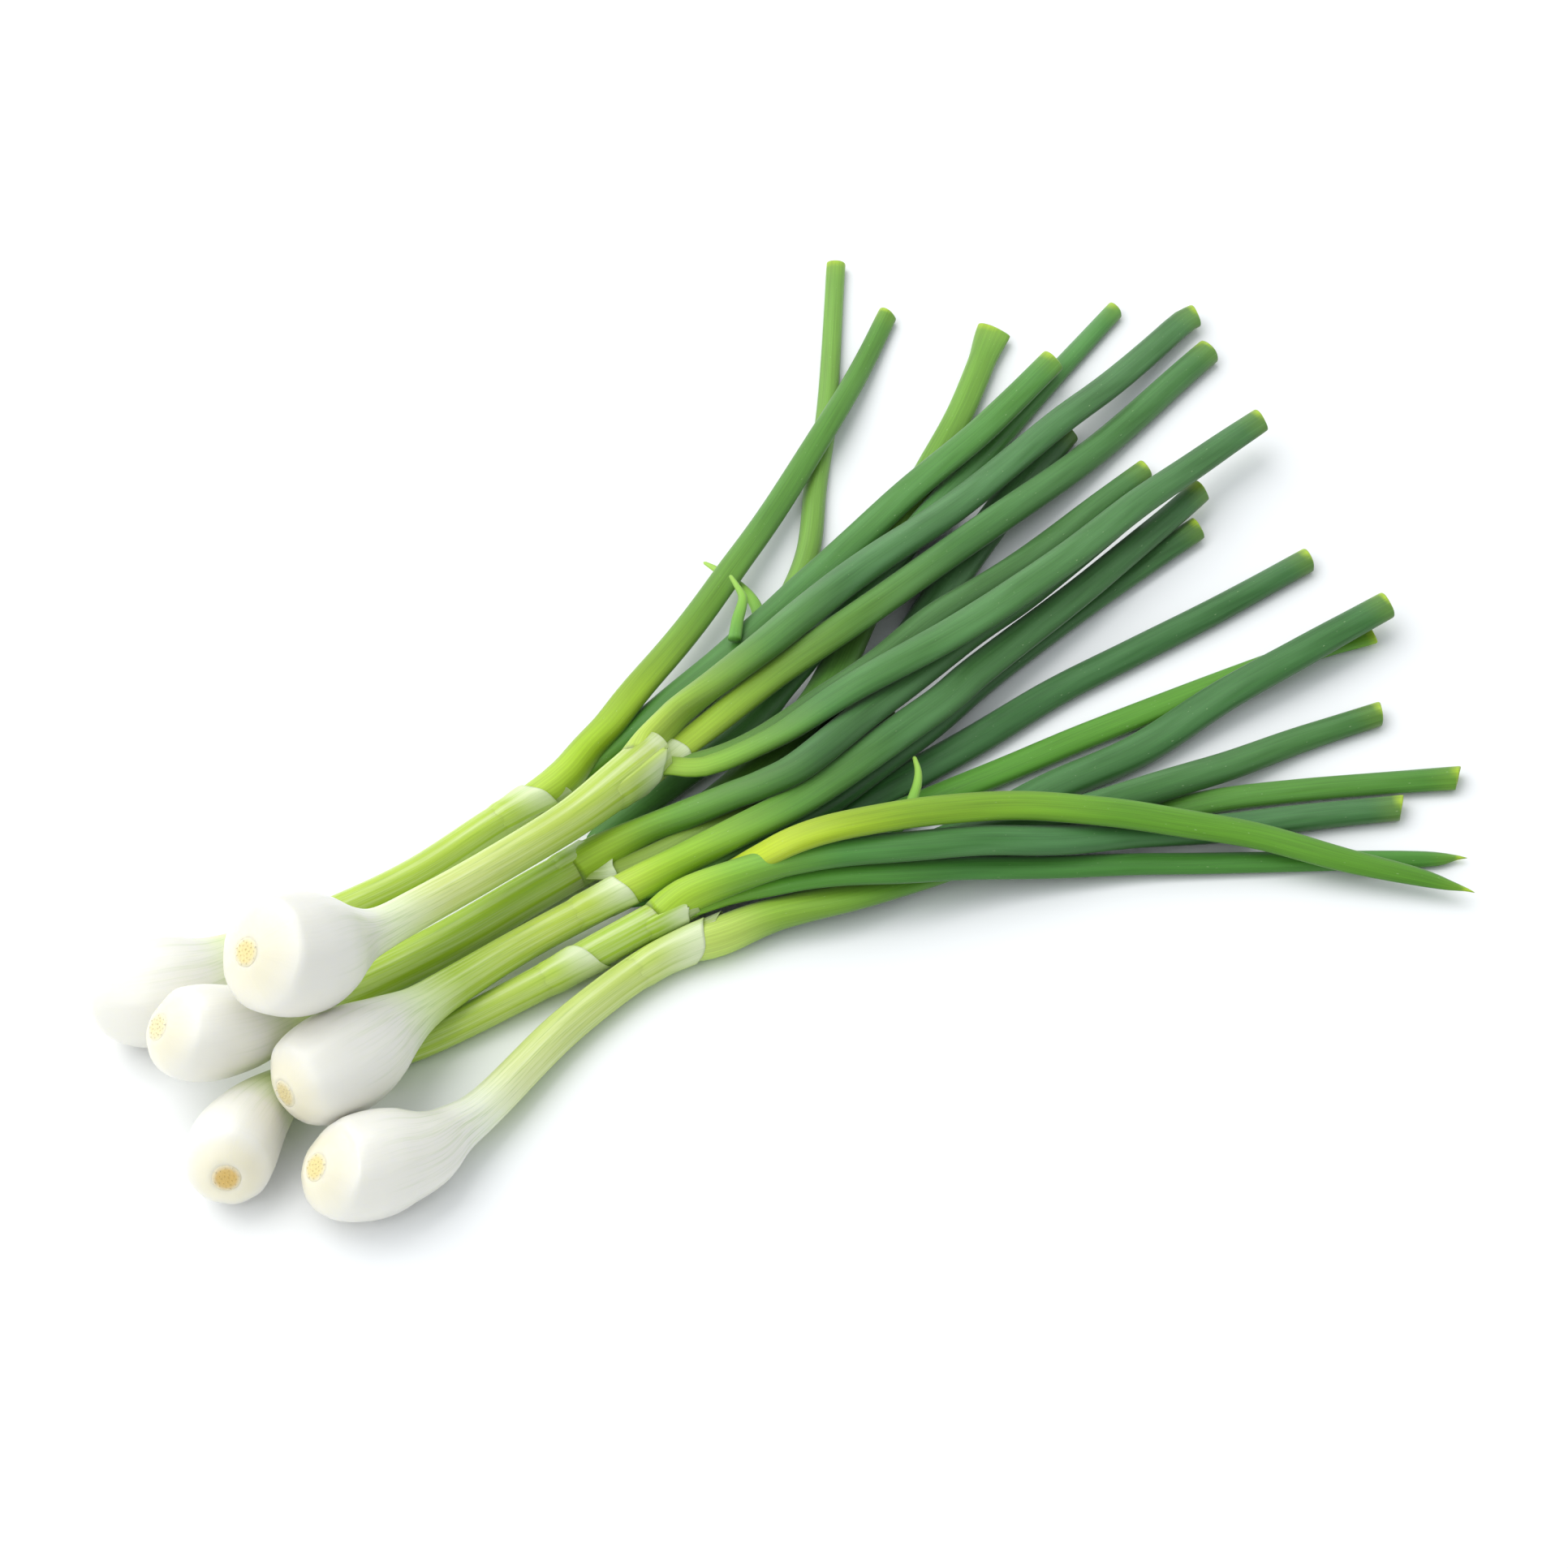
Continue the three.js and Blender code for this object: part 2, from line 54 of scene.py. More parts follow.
# How the strands lie on each other
STALK_STEP = 3
LEAF_STEP = 4
SHOOT_STEP = 4
STACK_GAP = 0.7
SIDE_GAP = 0.4
SAG = 0.03
SETTLING_ROUNDS = 600
EASING_ROUNDS = 4
SPLINE_STEPS = 20
REFINED_STEPS = 4
DIRECTION_REACH = 1.0

# How a leaf leaves its stalk: it starts inside, flattened, and opens out past the mouth.
# The first leaf of each plant fills the mouth and carries the stalk's round shape on.
MOUTH_DEPTH = 8
MOUTH_HALF_WIDTH = 3.4
SHEATH_LENGTH = 34
OPENING_LENGTH = 40
LEAF_FLATNESS = 0.58
SHEATHED_FLATNESS = 0.34
FIRST_LEAF_FLATNESS = 0.92
SKIN_THICKNESS = 0.4

# Fineness of the skins
STALK_SIDES = 48
LEAF_SIDES = 32
SHOOT_SIDES = 16
PLATE_SIDES = 40
STUB_SIDES = 6
THIN_SKIN_GRID = {"x_subdivisions": 40, "y_subdivisions": 24}
RING_SPACING = 2

# The skins' fibres are drawn on a straightened strand of this radius
FIBRE_RADIUS = 4

# Rings of the bulb's end round its root plate, from the middle out: share of the first radius, way
BULB_LENGTH = 34
BULB_BASE = [(0.5, 0.2), (0.7, -0.12), (0.83, -0.08), (0.93, 0.18), (0.98, 0.5)]

# Rings of the thin lip at a stalk's mouth, turned inwards: share of the section, way past the mouth
MOUTH_LIP = [(1, 0), (0.985, 0.15), (0.96, 0), (0.95, -3), (0.9, -MOUTH_DEPTH)]

# How far each stalk's mouth leans forward, and on which side in degrees
MOUTHS = {"a": (2, 90), "b": (4, 0), "c": (4, 180), "d": (1, 0), "e": (3, 0), "f": (4, 180)}
MOUTH_LEAN_LENGTH = 14

# The first rings of a plant's first leaf, which slip into its stalk: share of the section, way
FIRST_LEAF_START = [(0.94, -5), (0.965, -3.5), (0.985, -1.5), (1, 0.5)]

# How far the first leaf's skin stands out from its own strand to run on flush from the stalk
FLUSH_SWELL = 0.46
CROWNS = {"a1": 3.2}

# Feet of leaves that start behind another leaf: aside, down, way held and way free
TUCKS = {"e5": (-2.2, -4, 14, 34)}

# Leaves that keep their own pointed tip, with its last rings: share of the section, way past the end
POINTED = ("e2", "e5")
POINTED_TIP = [(1, -1), (0.85, 0), (0.4, 0.6)]

# The last rings of a cut leaf: over the rim and down into the hollow
RIM_RINGS = 3
HOLLOW_SHARE = 0.84
HOLLOW_DEPTH = 14
CUT_TIP = [(1, -0.6), (0.985, -0.2), (0.93, 0), (HOLLOW_SHARE + 0.02, -0.1), (HOLLOW_SHARE, -0.6),
           (HOLLOW_SHARE - 0.02, -HOLLOW_DEPTH / 2), (HOLLOW_SHARE - 0.05, -HOLLOW_DEPTH)]

# How far a cut leans back on the leaf's left, how it flares, and how it is pressed flat
USUAL_CUT = {"lean": 1.2, "flare": 0.03, "pinch": 0}
CUTS = {
    "b3": {"lean": 0.3},
    "c3": {"flare": 0.28, "pinch": 0.4},
    "e3": {"lean": 0.2, "flare": 0.25, "pinch": 0.3},
}
CUT_LEAN_LENGTH = 5
CUT_FLARE_LENGTH = 14
CUT_PINCH_LENGTH = 10

# Soft unevenness of the sections, as shares of the radius
FINE_RIBS = 0.008
BROAD_RIBS = 0.006
SLOW_DRIFT = 0.01
QUICK_DRIFT = 0.005
FACETS = 0.05

# Thin skins at the mouths: the strand they lie on, where they start and end along it, the slant of
# the far edge, middle and spread in degrees round the strand, and how far the edge is lifted
THIN_SKINS = {
    "a_membrane": dict(on="a", start=104, edge=116.5, slant=4.5, angle=8, spread=50, lift=0.25),
    "a_cuff": dict(on="a2", start=3, edge=13.5, slant=0, angle=60, spread=85, lift=0.3),
    "b_ridge": dict(on="b", start=104, edge=116, slant=-3.5, angle=80, spread=75, lift=0.5),
    "c_ridge": dict(on="c", start=102, edge=111.5, slant=0, angle=120, spread=50, lift=0.2),
    "c_curl": dict(on="c4", start=3, edge=10, slant=0, angle=75, spread=70, lift=0.6),
    "d_collar": dict(on="d", start=84, edge=97.5, slant=-2, angle=70, spread=85, lift=0.15),
    "e_collar": dict(on="e", start=94, edge=106.5, slant=-3.6, angle=46, spread=95, lift=0.25),
    "e_patch": dict(on="e", start=120, edge=130, slant=1, angle=10, spread=55, lift=0.25),
    "f_collar": dict(on="f", start=92, edge=109.5, slant=3, angle=46, spread=90, lift=0.2),
}
THIN_SKIN_WALL = 0.12
THIN_SKIN_TUCK = 0.15
THIN_SKIN_RISE = 0.32
THIN_SKIN_CLEARANCE = 0.1

# The root plate, with its steps towards the middle as inset and rise, and the clipped roots on it
PLATE_RADIUS = 3.2
PLATE_DEPTH = 0.6
PLATE_SUNK = 0.28
PLATE_STEPS = [(0.5, 0.2), (0.7, 0.1), (0.8, 0), (0.7, -0.05)]
STUBS = 26
STUB_RADII = {"radius1": 0.26, "radius2": 0.15}
STUB_LENGTHS = (0.4, 0.8)
STUB_HEIGHT = 0.45
STUB_TILT = 0.35
STUB_REACH = 0.86 * PLATE_RADIUS
GOLDEN_TURN = 2.39996
PLATE_HALO_START = 0.55
PLATE_HALO_END = 1.05

# Bulb and stalk centrelines from the roots to the mouth: x, y, z, radius
STALKS = {
    "a": [(-3.6, 36.6, 46.8, 4.6), (-2.4, 36.7, 45.6, 9), (0.4, 36.7, 43.5, 12), (5.4, 36.5, 40.3, 13),
          (11, 36.8, 37.6, 12.7), (17, 37.7, 35, 10.4), (23, 38.6, 32.6, 6.6), (29.5, 40, 30, 4.8),
          (42, 44, 25.5, 4.4), (61, 49, 20.5, 4.3), (85, 54, 17, 4.5), (101, 58, 16, 5.2),
          (113, 61.2, 15.6, 5.7)],
    "b": [(-21.6, 75.6, 7.8, 3.8), (-19.8, 73.4, 8.9, 8.4), (-16, 69.4, 10.9, 11.3), (-10, 66, 12, 12),
          (0, 64, 11, 9.4), (15, 67, 9, 5.4), (32, 68, 7, 4.2), (54, 69, 5.5, 4), (78, 73, 4.6, 4),
          (93, 73.8, 4.6, 4.2)],
    "c": [(-21.5, 46.3, 25.8, 4.2), (-19.8, 45.8, 24.2, 7.8), (-16.5, 45, 22, 9.9), (-11, 43.5, 20, 10.3),
          (-3, 42.3, 17.6, 8.8), (5, 43, 15, 6.6), (16, 44.4, 11.5, 5.2), (28, 45.6, 8.6, 4.9),
          (50, 47.6, 6, 4.9), (73, 50, 5.2, 4.8), (90, 51, 5.2, 4.6)],
    "d": [(-6.9, 19.3, 20.6, 4.6), (-4.2, 19.7, 20.2, 8.6), (0, 20.4, 19.7, 10.7), (6.8, 21.3, 19, 11.5),
          (14, 22.6, 18, 10.6), (22, 25.4, 16.2, 7.8), (31, 28.7, 13.5, 5.3), (42, 32, 11, 4.4),
          (63, 36, 8, 3.9), (84, 36, 8.6, 3.9), (89, 35.5, 9.1, 4)],
    "e": [(-25.6, 13, 12.4, 4.6), (-24.5, 14.8, 11.6, 7.8), (-22.4, 17.8, 10.4, 9.3), (-18, 22.6, 9.4, 9.5),
          (-9, 28.6, 7.4, 7.4), (2, 33, 4.9, 4.4), (15, 32, 3.8, 3.6), (30, 28, 3.8, 3.6),
          (57, 27, 4.4, 3.8), (78, 26.4, 6.2, 3.9), (96, 25.4, 8.2, 4)],
    "f": [(-10.2, 2, 16, 4.4), (-8.6, 1.8, 14.5, 8), (-5.6, 1, 12.5, 10.3), (0, 0, 11.1, 11.4),
          (6, -1, 10.6, 10.9), (13, -2, 9.6, 8.6), (21, 0, 8, 5.8), (32, 3, 6.5, 4.4), (58, 13, 4.6, 4.1),
          (83, 18, 4.2, 4), (100, 17, 4.4, 4.2)],
}

# Leaf centrelines seen from above, from the mouth to the tip: x, y, half width
LEAVES = {
    "a1": [(112.3, 63.7, 3.2), (119, 66.8, 3.1), (130, 71, 3.5), (156, 76, 4.3), (185, 85, 4.4),
           (215, 92, 4.2), (246, 101, 4), (278, 110, 3.9), (314, 122, 3.6), (321, 123, 3.5)],
    "a2": [(113.5, 59.5, 3.4), (130, 64, 3.7), (152, 70, 4.1), (178, 74, 4.2), (208, 82, 4.2),
           (240, 89, 4.2), (269, 97, 4), (302, 107, 3.8), (316, 111, 3.6)],
    "a3": [(114, 57, 2.8), (121, 51.5, 2.9), (137, 49, 3), (148, 49, 3.4), (172, 51, 4.1), (198, 54, 4.3),
           (226, 59, 4.2), (257, 67, 4), (287, 74, 3.7), (304, 77, 3.3)],
    "a4": [(115, 57, 2.6), (130, 54, 3.2), (147, 55, 3.7), (174, 61, 3.9), (197, 68, 3.9), (226, 74, 3.7),
           (256, 81, 3.4), (275, 85, 3)],
    "b1": [(97, 75, 4), (107, 79, 3.8), (116, 82, 3.8), (132, 90, 3.7), (151, 100, 3.6), (172, 112, 3.5),
           (198, 128, 3.3), (226, 146, 3), (258, 170, 2.5)],
    "b2": [(97, 75, 2.6), (111, 77, 3.5), (124, 79, 3.9), (137, 82, 4), (151, 85, 4.1), (165, 89, 4.1),
           (181, 95, 4.1), (212, 105, 4), (243, 114, 3.9), (278, 127, 3.5)],
    "b3": [(97, 74, 2.4), (116, 78, 3.2), (137, 82, 3.2), (158, 88, 3.1), (175, 97, 3), (190, 109, 2.9),
           (205, 127, 2.8), (225, 150, 2.6), (259, 194, 2.4)],
    "c1": [(92, 50, 4), (103, 48, 3.5), (112, 45, 3.9), (121, 42, 3.9), (130, 39, 4), (141, 39, 4.1),
           (168, 47, 4), (197, 55, 3.8), (220, 59, 3.5), (258, 69, 2.8)],
    "c2": [(91, 53, 2.4), (95, 55.8, 3.2), (101, 58, 3.6), (110, 60, 3.6), (122, 62.5, 3.6), (142, 66, 3.8),
           (155, 71, 3.8), (166, 75, 3.8), (195, 87, 3.7), (232, 106, 3.4), (268, 122, 3), (307, 138, 2.5)],
    "c3": [(90, 48, 2.6), (103, 48, 3.4), (121, 48, 3.8), (143, 54, 4.2), (162, 63, 4.3), (185, 81, 4.3),
           (207, 98, 4.1), (229, 114, 3.7), (251, 129, 3.5), (276, 149, 3.5)],
    "c4": [(90, 45, 2.6), (99, 42, 3.2), (109, 41, 3.4), (121, 41, 3.4), (136, 44, 3.2), (154, 47, 3),
           (172, 50, 2.6)],
    "d1": [(95, 35, 3.8), (105, 34, 3.9), (126, 32, 4.3), (150, 35, 4.4), (177, 41, 4.5), (192, 46, 4.4),
           (207, 50, 4.2), (237, 57, 3.8), (279, 69, 3.2)],
    "d2": [(95, 33, 2.6), (114, 32, 3.6), (137, 33, 4), (150, 35, 4.1), (172, 40, 4.1), (193, 47, 4.1),
           (209, 51, 4), (237, 56, 3.7), (272, 61, 3.2)],
    "d3": [(94, 33, 2.6), (114, 31, 3.4), (136, 32, 3.9), (160, 33, 4.2), (184, 34, 4.2), (209, 36, 4),
           (233, 36, 3.8), (258, 36, 3.6), (287, 37, 3.3)],
    "d4": [(96, 37, 2.6), (109, 41, 3.4), (130, 48, 4), (152, 53, 4.3), (170, 60, 4.4), (191, 69, 4.4),
           (211, 80, 4.4), (236, 93, 4.4), (267, 108, 4.3)],
    "e1": [(97, 26, 3.8), (105, 24, 3.9), (117, 20, 4.1), (125, 16, 4.1), (142, 8, 4.1), (159, 1, 4.1),
           (176, -7, 4.1), (194, -13, 4), (212, -21, 3.9), (229, -28, 3.7), (251, -39, 3.4)],
    "e2": [(97, 24, 2.6), (107, 22, 3.2), (116, 18, 3.4), (124, 14, 3.4), (140, 5, 3.3), (157, -2, 3.2),
           (174, -10, 3.1), (190, -18, 3), (206, -28, 2.9), (229, -43, 2.7), (246, -54, 2.1),
           (252, -58, 0.5)],
    "e3": [(99, 28, 2.6), (121, 26, 3.3), (143, 25, 3.5), (165, 24, 3.6), (186, 22, 3.6), (208, 20, 3.6),
           (242, 16, 3.4), (264, 13, 3.1), (283, 9, 2.6)],
    "e4": [(97, 26, 2.4), (118, 21, 3.2), (135, 14, 3.6), (153, 8, 3.8), (168, 4, 4), (181, 0, 4.1),
           (201, -4, 4.2), (223, -7, 4), (245, -9, 3.6), (267, -13, 3.2)],
    "e5": [(99, 26, 2.6), (105, 25, 3), (112, 23, 3.4), (117, 21, 3.6), (135, 15, 3.8), (154, 10, 4),
           (172, 3, 4), (187, -7, 4), (201, -18, 3.9), (215, -30, 3.6), (227, -45, 3.3), (239, -59, 2.4),
           (245, -68, 0.5)],
    "f1": [(100, 16, 4), (113, 14, 4), (130, 8, 4.2), (146, 5, 4), (160, 3, 3.8), (180, -1, 3.6),
           (200, -7, 3.4), (218, -13, 3.3), (235, -21, 3.2), (252, -30, 3.1), (268, -39, 3.2)],
    "f2": [(101, 18, 2.6), (124, 14, 3.6), (145, 13, 4.2), (167, 11, 4.5), (190, 11, 4.5), (212, 9, 4.5),
           (236, 10, 4.4), (261, 10, 4.2), (289, 11, 3.7)],
}

# Young shoots lying between the leaves: x, y, half width
SHOOTS = {
    "shoot_1": [(162, 88, 1.6), (167, 98, 1.5), (168, 106, 1.3), (167, 114, 1), (166, 118, 0.5)],
    "shoot_2": [(152, 85, 1.6), (158, 92, 1.4), (162, 96, 1.1), (164, 104, 0.5)],
    "shoot_3": [(146, 14, 1.6), (152, 17, 1.5), (158, 22, 1.2), (162, 26, 0.9), (164.5, 31, 0.5)],
}

# The order of laying, from the table up
LAYING = ("b e f c d d4 b3 c3 c4 d3 e3 f2 f1 d2 e4 c2 shoot_1 d1 b2 c1 e2 a a4 shoot_3 a3 a2 e1 a1 "
          "e5 b1 shoot_2").split()

IVORY = "E8E6DD"
ROOT_HALO = "EAE4CC"
CUT_RIM = "A6C42C"
# Lime painted on the undersides of the stalks as shade, with the green glow of light coming through them
SHADOW_LIME = "8DBB2C"
THIN_SKIN = "DFE8C8"
# Pale bluish wax, painted only on the tops of the leaves, so it is partly painted sheen
LEAF_WAX_SHEEN = "74A270"
LEAF_SPECK = "C9DDAA"
STALK_PALE = "EFF3CF"
STALK_VEIN = "86AC30"
PLATE_COLOURS = {"a": "EEDB9E", "b": "E6D9A8", "c": "EADFB2", "d": "E6D5A0", "e": "DFBC6E", "f": "ECDA9A"}

# Colour along each stalk: way from the roots, colour
STALK_COLOURS = {
    "a": [(0, IVORY), (26, IVORY), (34, "E6EEC8"), (52, "D9E6A6"), (84, "C3D973"), (112, "B4D05A")],
    "b": [(0, IVORY), (22, IVORY), (32, "DCE8A8"), (46, "BAD65C"), (92, "BCD85E"), (122, "B2D24E")],
    "c": [(0, IVORY), (18, IVORY), (28, "DDE7AE"), (44, "B4D152"), (112, "A3C83E")],
    "d": [(0, IVORY), (26, IVORY), (36, "DCE9B8"), (50, "B4D25A"), (76, "C3DA6A"), (104, "B0D048")],
    "e": [(0, IVORY), (18, IVORY), (27, "D7E5A0"), (44, "A9CE42"), (84, "C4DD74"), (126, "A5CB3A")],
    "f": [(0, IVORY), (30, IVORY), (42, "E9F0DA"), (62, "D5E4AC"), (88, "C5DA84"), (114, "BAD472")],
}

# Colour along each leaf: way from its foot, colour. The darker stops of leaves that lie under others carry
# painted shade from the leaves above as well as their own green
LEAF_COLOURS = {
    "a1": [(0, "B9D15A"), (22, "9CC24C"), (50, "63A04C"), (80, "4B8B50"), (210, "4A8A50")],
    "a2": [(0, "B5CF45"), (30, "9CC43C"), (70, "6FA944"), (110, "559650"), (200, "4F9150")],
    "a3": [(0, "A8C848"), (20, "83B640"), (48, "559650"), (190, "4B8A54")],
    "a4": [(0, "6F9C38"), (50, "4C8340"), (160, "4A8A44")],
    "b1": [(0, "A9CE22"), (40, "A2CA24"), (70, "80B83A"), (110, "66A640"), (170, "66A83C")],
    "b2": [(0, "8DBB38"), (30, "4C8E30"), (90, "4F9440"), (180, "62AA4C")],
    "b3": [(0, "8CC052"), (170, "8CC65C")],
    "c1": [(0, "A4C639"), (26, "6CA53A"), (60, "447F44"), (170, "437E4A")],
    "c2": [(0, "5A9448"), (90, "478848"), (220, "62AC60")],
    "c3": [(0, "5E8E35"), (90, "5E9A40"), (140, "86C04E"), (200, "8CC854")],
    "c4": [(0, "93AC4C"), (40, "789E46"), (90, "4C8340")],
    "d1": [(0, "A6CC2C"), (24, "92C22C"), (48, "66A636"), (80, "4A8A48"), (190, "437F4E")],
    "d2": [(0, "6E9E38"), (60, "35743C"), (190, "3F7C44")],
    "d3": [(0, "4F8A3C"), (60, "35763C"), (195, "40824A")],
    "d4": [(0, "4A7E3A"), (60, "3D7540"), (180, "427A48")],
    "e1": [(0, "A9CC3F"), (20, "86BB40"), (44, "58A050"), (90, "428650"), (170, "3F8048")],
    "e2": [(0, "93C038"), (30, "62A840"), (70, "4B9448"), (180, "5AA83C")],
    "e3": [(0, "5CA030"), (60, "5EAA2C"), (190, "70B838")],
    "e4": [(0, "5A9A3A"), (50, "3F8040"), (180, "4B8C44")],
    "e5": [(0, "C2DA26"), (30, "C4DC26"), (62, "9AC92C"), (110, "72B430"), (200, "62A830")],
    "f1": [(0, "B9D37A"), (20, "98C44C"), (50, "6AA838"), (190, "5CA43C")],
    "f2": [(0, "5A9A3A"), (50, "3F8040"), (195, "3F8444")],
}
SHOOT_COLOURS = [(0, "5E9A34"), (14, "7FB43C"), (30, "A4CC54")]

# Shares of its stated colour that the skin gives back: at a leaf's foot, further along a leaf,
# along a stalk, and on a leaf's underside, where the smaller share is painted shade
LEAF_FOOT_DEPTH = np.array([0.9, 0.88, 0.6])
LEAF_DEPTH = np.array([0.64, 0.64, 0.36])
STALK_DEPTH = np.array([0.93, 0.91, 0.62])
UNDERSIDE_SHADE = np.array([0.5, 0.62, 0.34])

# How far along a stalk the pale halo of the roots, the greening and the painted shade of the underside come
# in
HALO_LENGTH = 4
GREENING_LENGTH = 20
SHADING_LENGTH = 25
SHADING_SHARE = 0.6

# How much pale wax lies on the top of a leaf; as it is painted only on the top, it is partly painted sheen
USUAL_WAX_SHEEN = 0.5
WAX_SHEEN = {"a1": 0.75, "a3": 0.6, "b1": 0.2, "b3": 0.15, "c3": 0.15, "d1": 0.6, "e1": 0.6, "e2": 0.2,
       "e3": 0.15, "e5": 0, "f1": 0.3}

# The camera stands where the photograph was taken from. It and the lights are placed in metres
CAMERA_PLACE = (-0.2573, -0.5195, 0.7193)
CAMERA_AIM = (0.1412, 0.0495, 0)
TABLE_SIZE = 8
TABLE_DROP = 0.0002


def linear_colour(code):
    """A colour code as the linear light values that shaders and attributes take."""
    parts = [int(code[k:k + 2], 16) / 255 for k in (0, 2, 4)]
    return np.array([p / 12.92 if p <= 0.04045 else ((p + 0.055) / 1.055) ** 2.4 for p in parts])


def mixed(first, second, share):
    """The first rows of values going over to the second by the share given for each."""
    return first + (second - first) * np.asarray(share)[:, None]


def eased(value, low, high):
    """A soft step from 0 at the low value to 1 at the high one."""
    share = np.clip((value - low) / (high - low), 0, 1)
    return share * share * (3 - 2 * share)


def is_first(leaf):
    """Whether a leaf is the one that fills its stalk's mouth."""
    return leaf.endswith("1")


def smooth_curve(rows, steps):
    """The smooth curve through the rows, every value of the row taken along."""
    rows = np.array(rows, float)
    held = np.vstack([rows[:1], rows, rows[-1:]])
    share = (np.arange(steps) / steps)[:, None]
    spans = []
    for before, start, end, after in zip(held, held[1:], held[2:], held[3:]):
        leaving, arriving = (end - before) / 2, (after - start) / 2
        spans.append((2 * start - 2 * end + leaving + arriving) * share ** 3
                     + (3 * end - 3 * start - 2 * leaving - arriving) * share ** 2
                     + leaving * share + start)
    return np.vstack(spans + [rows[-1:]])


def distances(points):
    """The way along the points from the first to each."""
    return np.concatenate([[0], np.cumsum(np.linalg.norm(np.diff(points, axis=0), axis=1))])


class Strand:
    """A stalk, leaf or shoot: stations along its centreline, with height, half width and half thickness.

    Each row gives x, y and half width. A stalk's rows give its height too. The others find theirs
    when they are laid.
    """

    def __init__(self, plant, is_leaf, rows, step):
        self.plant, self.is_leaf = plant, is_leaf
        fine = smooth_curve(rows, SPLINE_STEPS)
        way = distances(fine[:, :2])
        self.way = np.linspace(0, way[-1], round(way[-1] / step) + 1)
        values = np.column_stack([np.interp(self.way, way, column) for column in fine.T])
        self.plan, self.half, self.thick = values[:, :2], values[:, 2], values[:, 2]
        self.z = None if is_leaf else values[:, 3]

    def flatten(self, shares):
        """Makes the section lower than it is wide, by a share for each station."""
        self.thick = self.half * shares

    def refine(self):
        """Brings in finer stations once the heights are known, with small steps in height eased out."""
        z = self.z.copy()
        if self.is_leaf:
            z[1:-1] = (z[:-2] + 2 * z[1:-1] + z[2:]) / 4
        rows = np.column_stack([self.plan, z, self.half, self.thick, self.way])
        self.fine = smooth_curve(rows, REFINED_STEPS)

    def values_at(self, ways):
        """Place, half width and half thickness at the given ways."""
        return np.column_stack([np.interp(ways, self.fine[:, 5], column) for column in self.fine.T[:5]])

    def sections(self, ways):
        """Centre, side and top directions, half width and half thickness at the given ways."""
        values = self.values_at(ways)
        ahead = self.values_at(ways + DIRECTION_REACH)
        behind = self.values_at(ways - DIRECTION_REACH)
        along = ahead[:, :3] - behind[:, :3]
        along /= np.linalg.norm(along, axis=1)[:, None]
        side = np.column_stack([along[:, 1], -along[:, 0], np.zeros(len(ways))])
        side /= np.linalg.norm(side, axis=1)[:, None]
        beyond = np.clip(ways - self.way[-1], 0, None) + np.clip(ways, None, 0)
        centre = values[:, :3] + along * beyond[:, None]
        return centre, side, np.cross(side, along), values[:, 3], values[:, 4]


def heights_needed(strand, laid):
    """The height at which each station lies clear on top of everything laid before it."""
    needed = strand.thick.copy()
    for other in laid:
        sibling = other.plant == strand.plant
        if sibling and not (strand.is_leaf and other.is_leaf):
            continue
        reach = strand.half[:, None] + other.half + SIDE_GAP
        apart = np.linalg.norm(strand.plan[:, None] - other.plan, axis=2)
        rise = strand.thick[:, None] + other.thick + STACK_GAP
        height = other.z + rise * np.sqrt(np.clip(1 - (apart / reach) ** 2, 0, None))
        height[apart >= reach] = 0
        if sibling:
            height[strand.way < SHEATH_LENGTH] = 0
            height[:, other.way < SHEATH_LENGTH] = 0
        needed = np.maximum(needed, height.max(axis=1))
    return needed


def settle(strand, laid, mouth_height=None):
    """A limp strand comes down on what lies below it, hanging between its foot and its supports."""
    needed = heights_needed(strand, laid)
    foot = needed[0] if mouth_height is None else mouth_height
    z = np.maximum(needed, foot)
    for _ in range(SETTLING_ROUNDS):
        slack = np.append((z[:-2] + z[2:]) / 2, z[-2]) - SAG
        z = np.concatenate([[foot], np.maximum(slack, needed[1:])])
    for _ in range(EASING_ROUNDS):
        z[1:-1] = np.maximum((z[:-2] + 2 * z[1:-1] + z[2:]) / 4, strand.thick[1:-1])
    strand.z = z


def lay_stalk(plant):
    """A stalk is stiff: its own rows give its heights."""
    return Strand(plant, False, [(x, y, radius, z) for x, y, z, radius in STALKS[plant]], STALK_STEP)


def lay_leaf(name, stalk, laid):
    """A leaf starts inside its stalk's mouth, opens out past it and comes down on the pile."""
    foot = np.argmax(stalk.way >= stalk.way[-1] - MOUTH_DEPTH)
    route = LEAVES[name]
    if is_first(name):
        start_half = stalk.half[foot] - SKIN_THICKNESS
        start_flatness = FIRST_LEAF_FLATNESS
    else:
        start_half = min(MOUTH_HALF_WIDTH, route[0][2])
        start_flatness = SHEATHED_FLATNESS
    strand = Strand(name[0], True, [(*stalk.plan[foot], start_half), *route], LEAF_STEP)
    opened = eased(strand.way, 0, OPENING_LENGTH)
    strand.flatten(start_flatness + (LEAF_FLATNESS - start_flatness) * opened)
    settle(strand, laid, stalk.z[foot])
    return strand


def lay_shoot(name, laid):
    """A shoot lies loose on the pile."""
    strand = Strand(name, True, SHOOTS[name], SHOOT_STEP)
    strand.flatten(LEAF_FLATNESS)
    settle(strand, laid)
    return strand


def lay_bunch():
    """Every strand by name, laid one on the other in order."""
    stalks = {plant: lay_stalk(plant) for plant in STALKS}
    laid = {}
    for name in LAYING:
        below = list(laid.values())
        if name in STALKS:
            laid[name] = stalks[name]
        elif name in SHOOTS:
            laid[name] = lay_shoot(name, below)
        else:
            laid[name] = lay_leaf(name, stalks[name[0]], below)
    for strand in laid.values():
        strand.refine()
    return laid


def deselect_all():
    """Back to object mode with nothing selected."""
    if bpy.context.mode != "OBJECT":
        bpy.ops.object.mode_set(mode="OBJECT")
    bpy.ops.object.select_all(action="DESELECT")


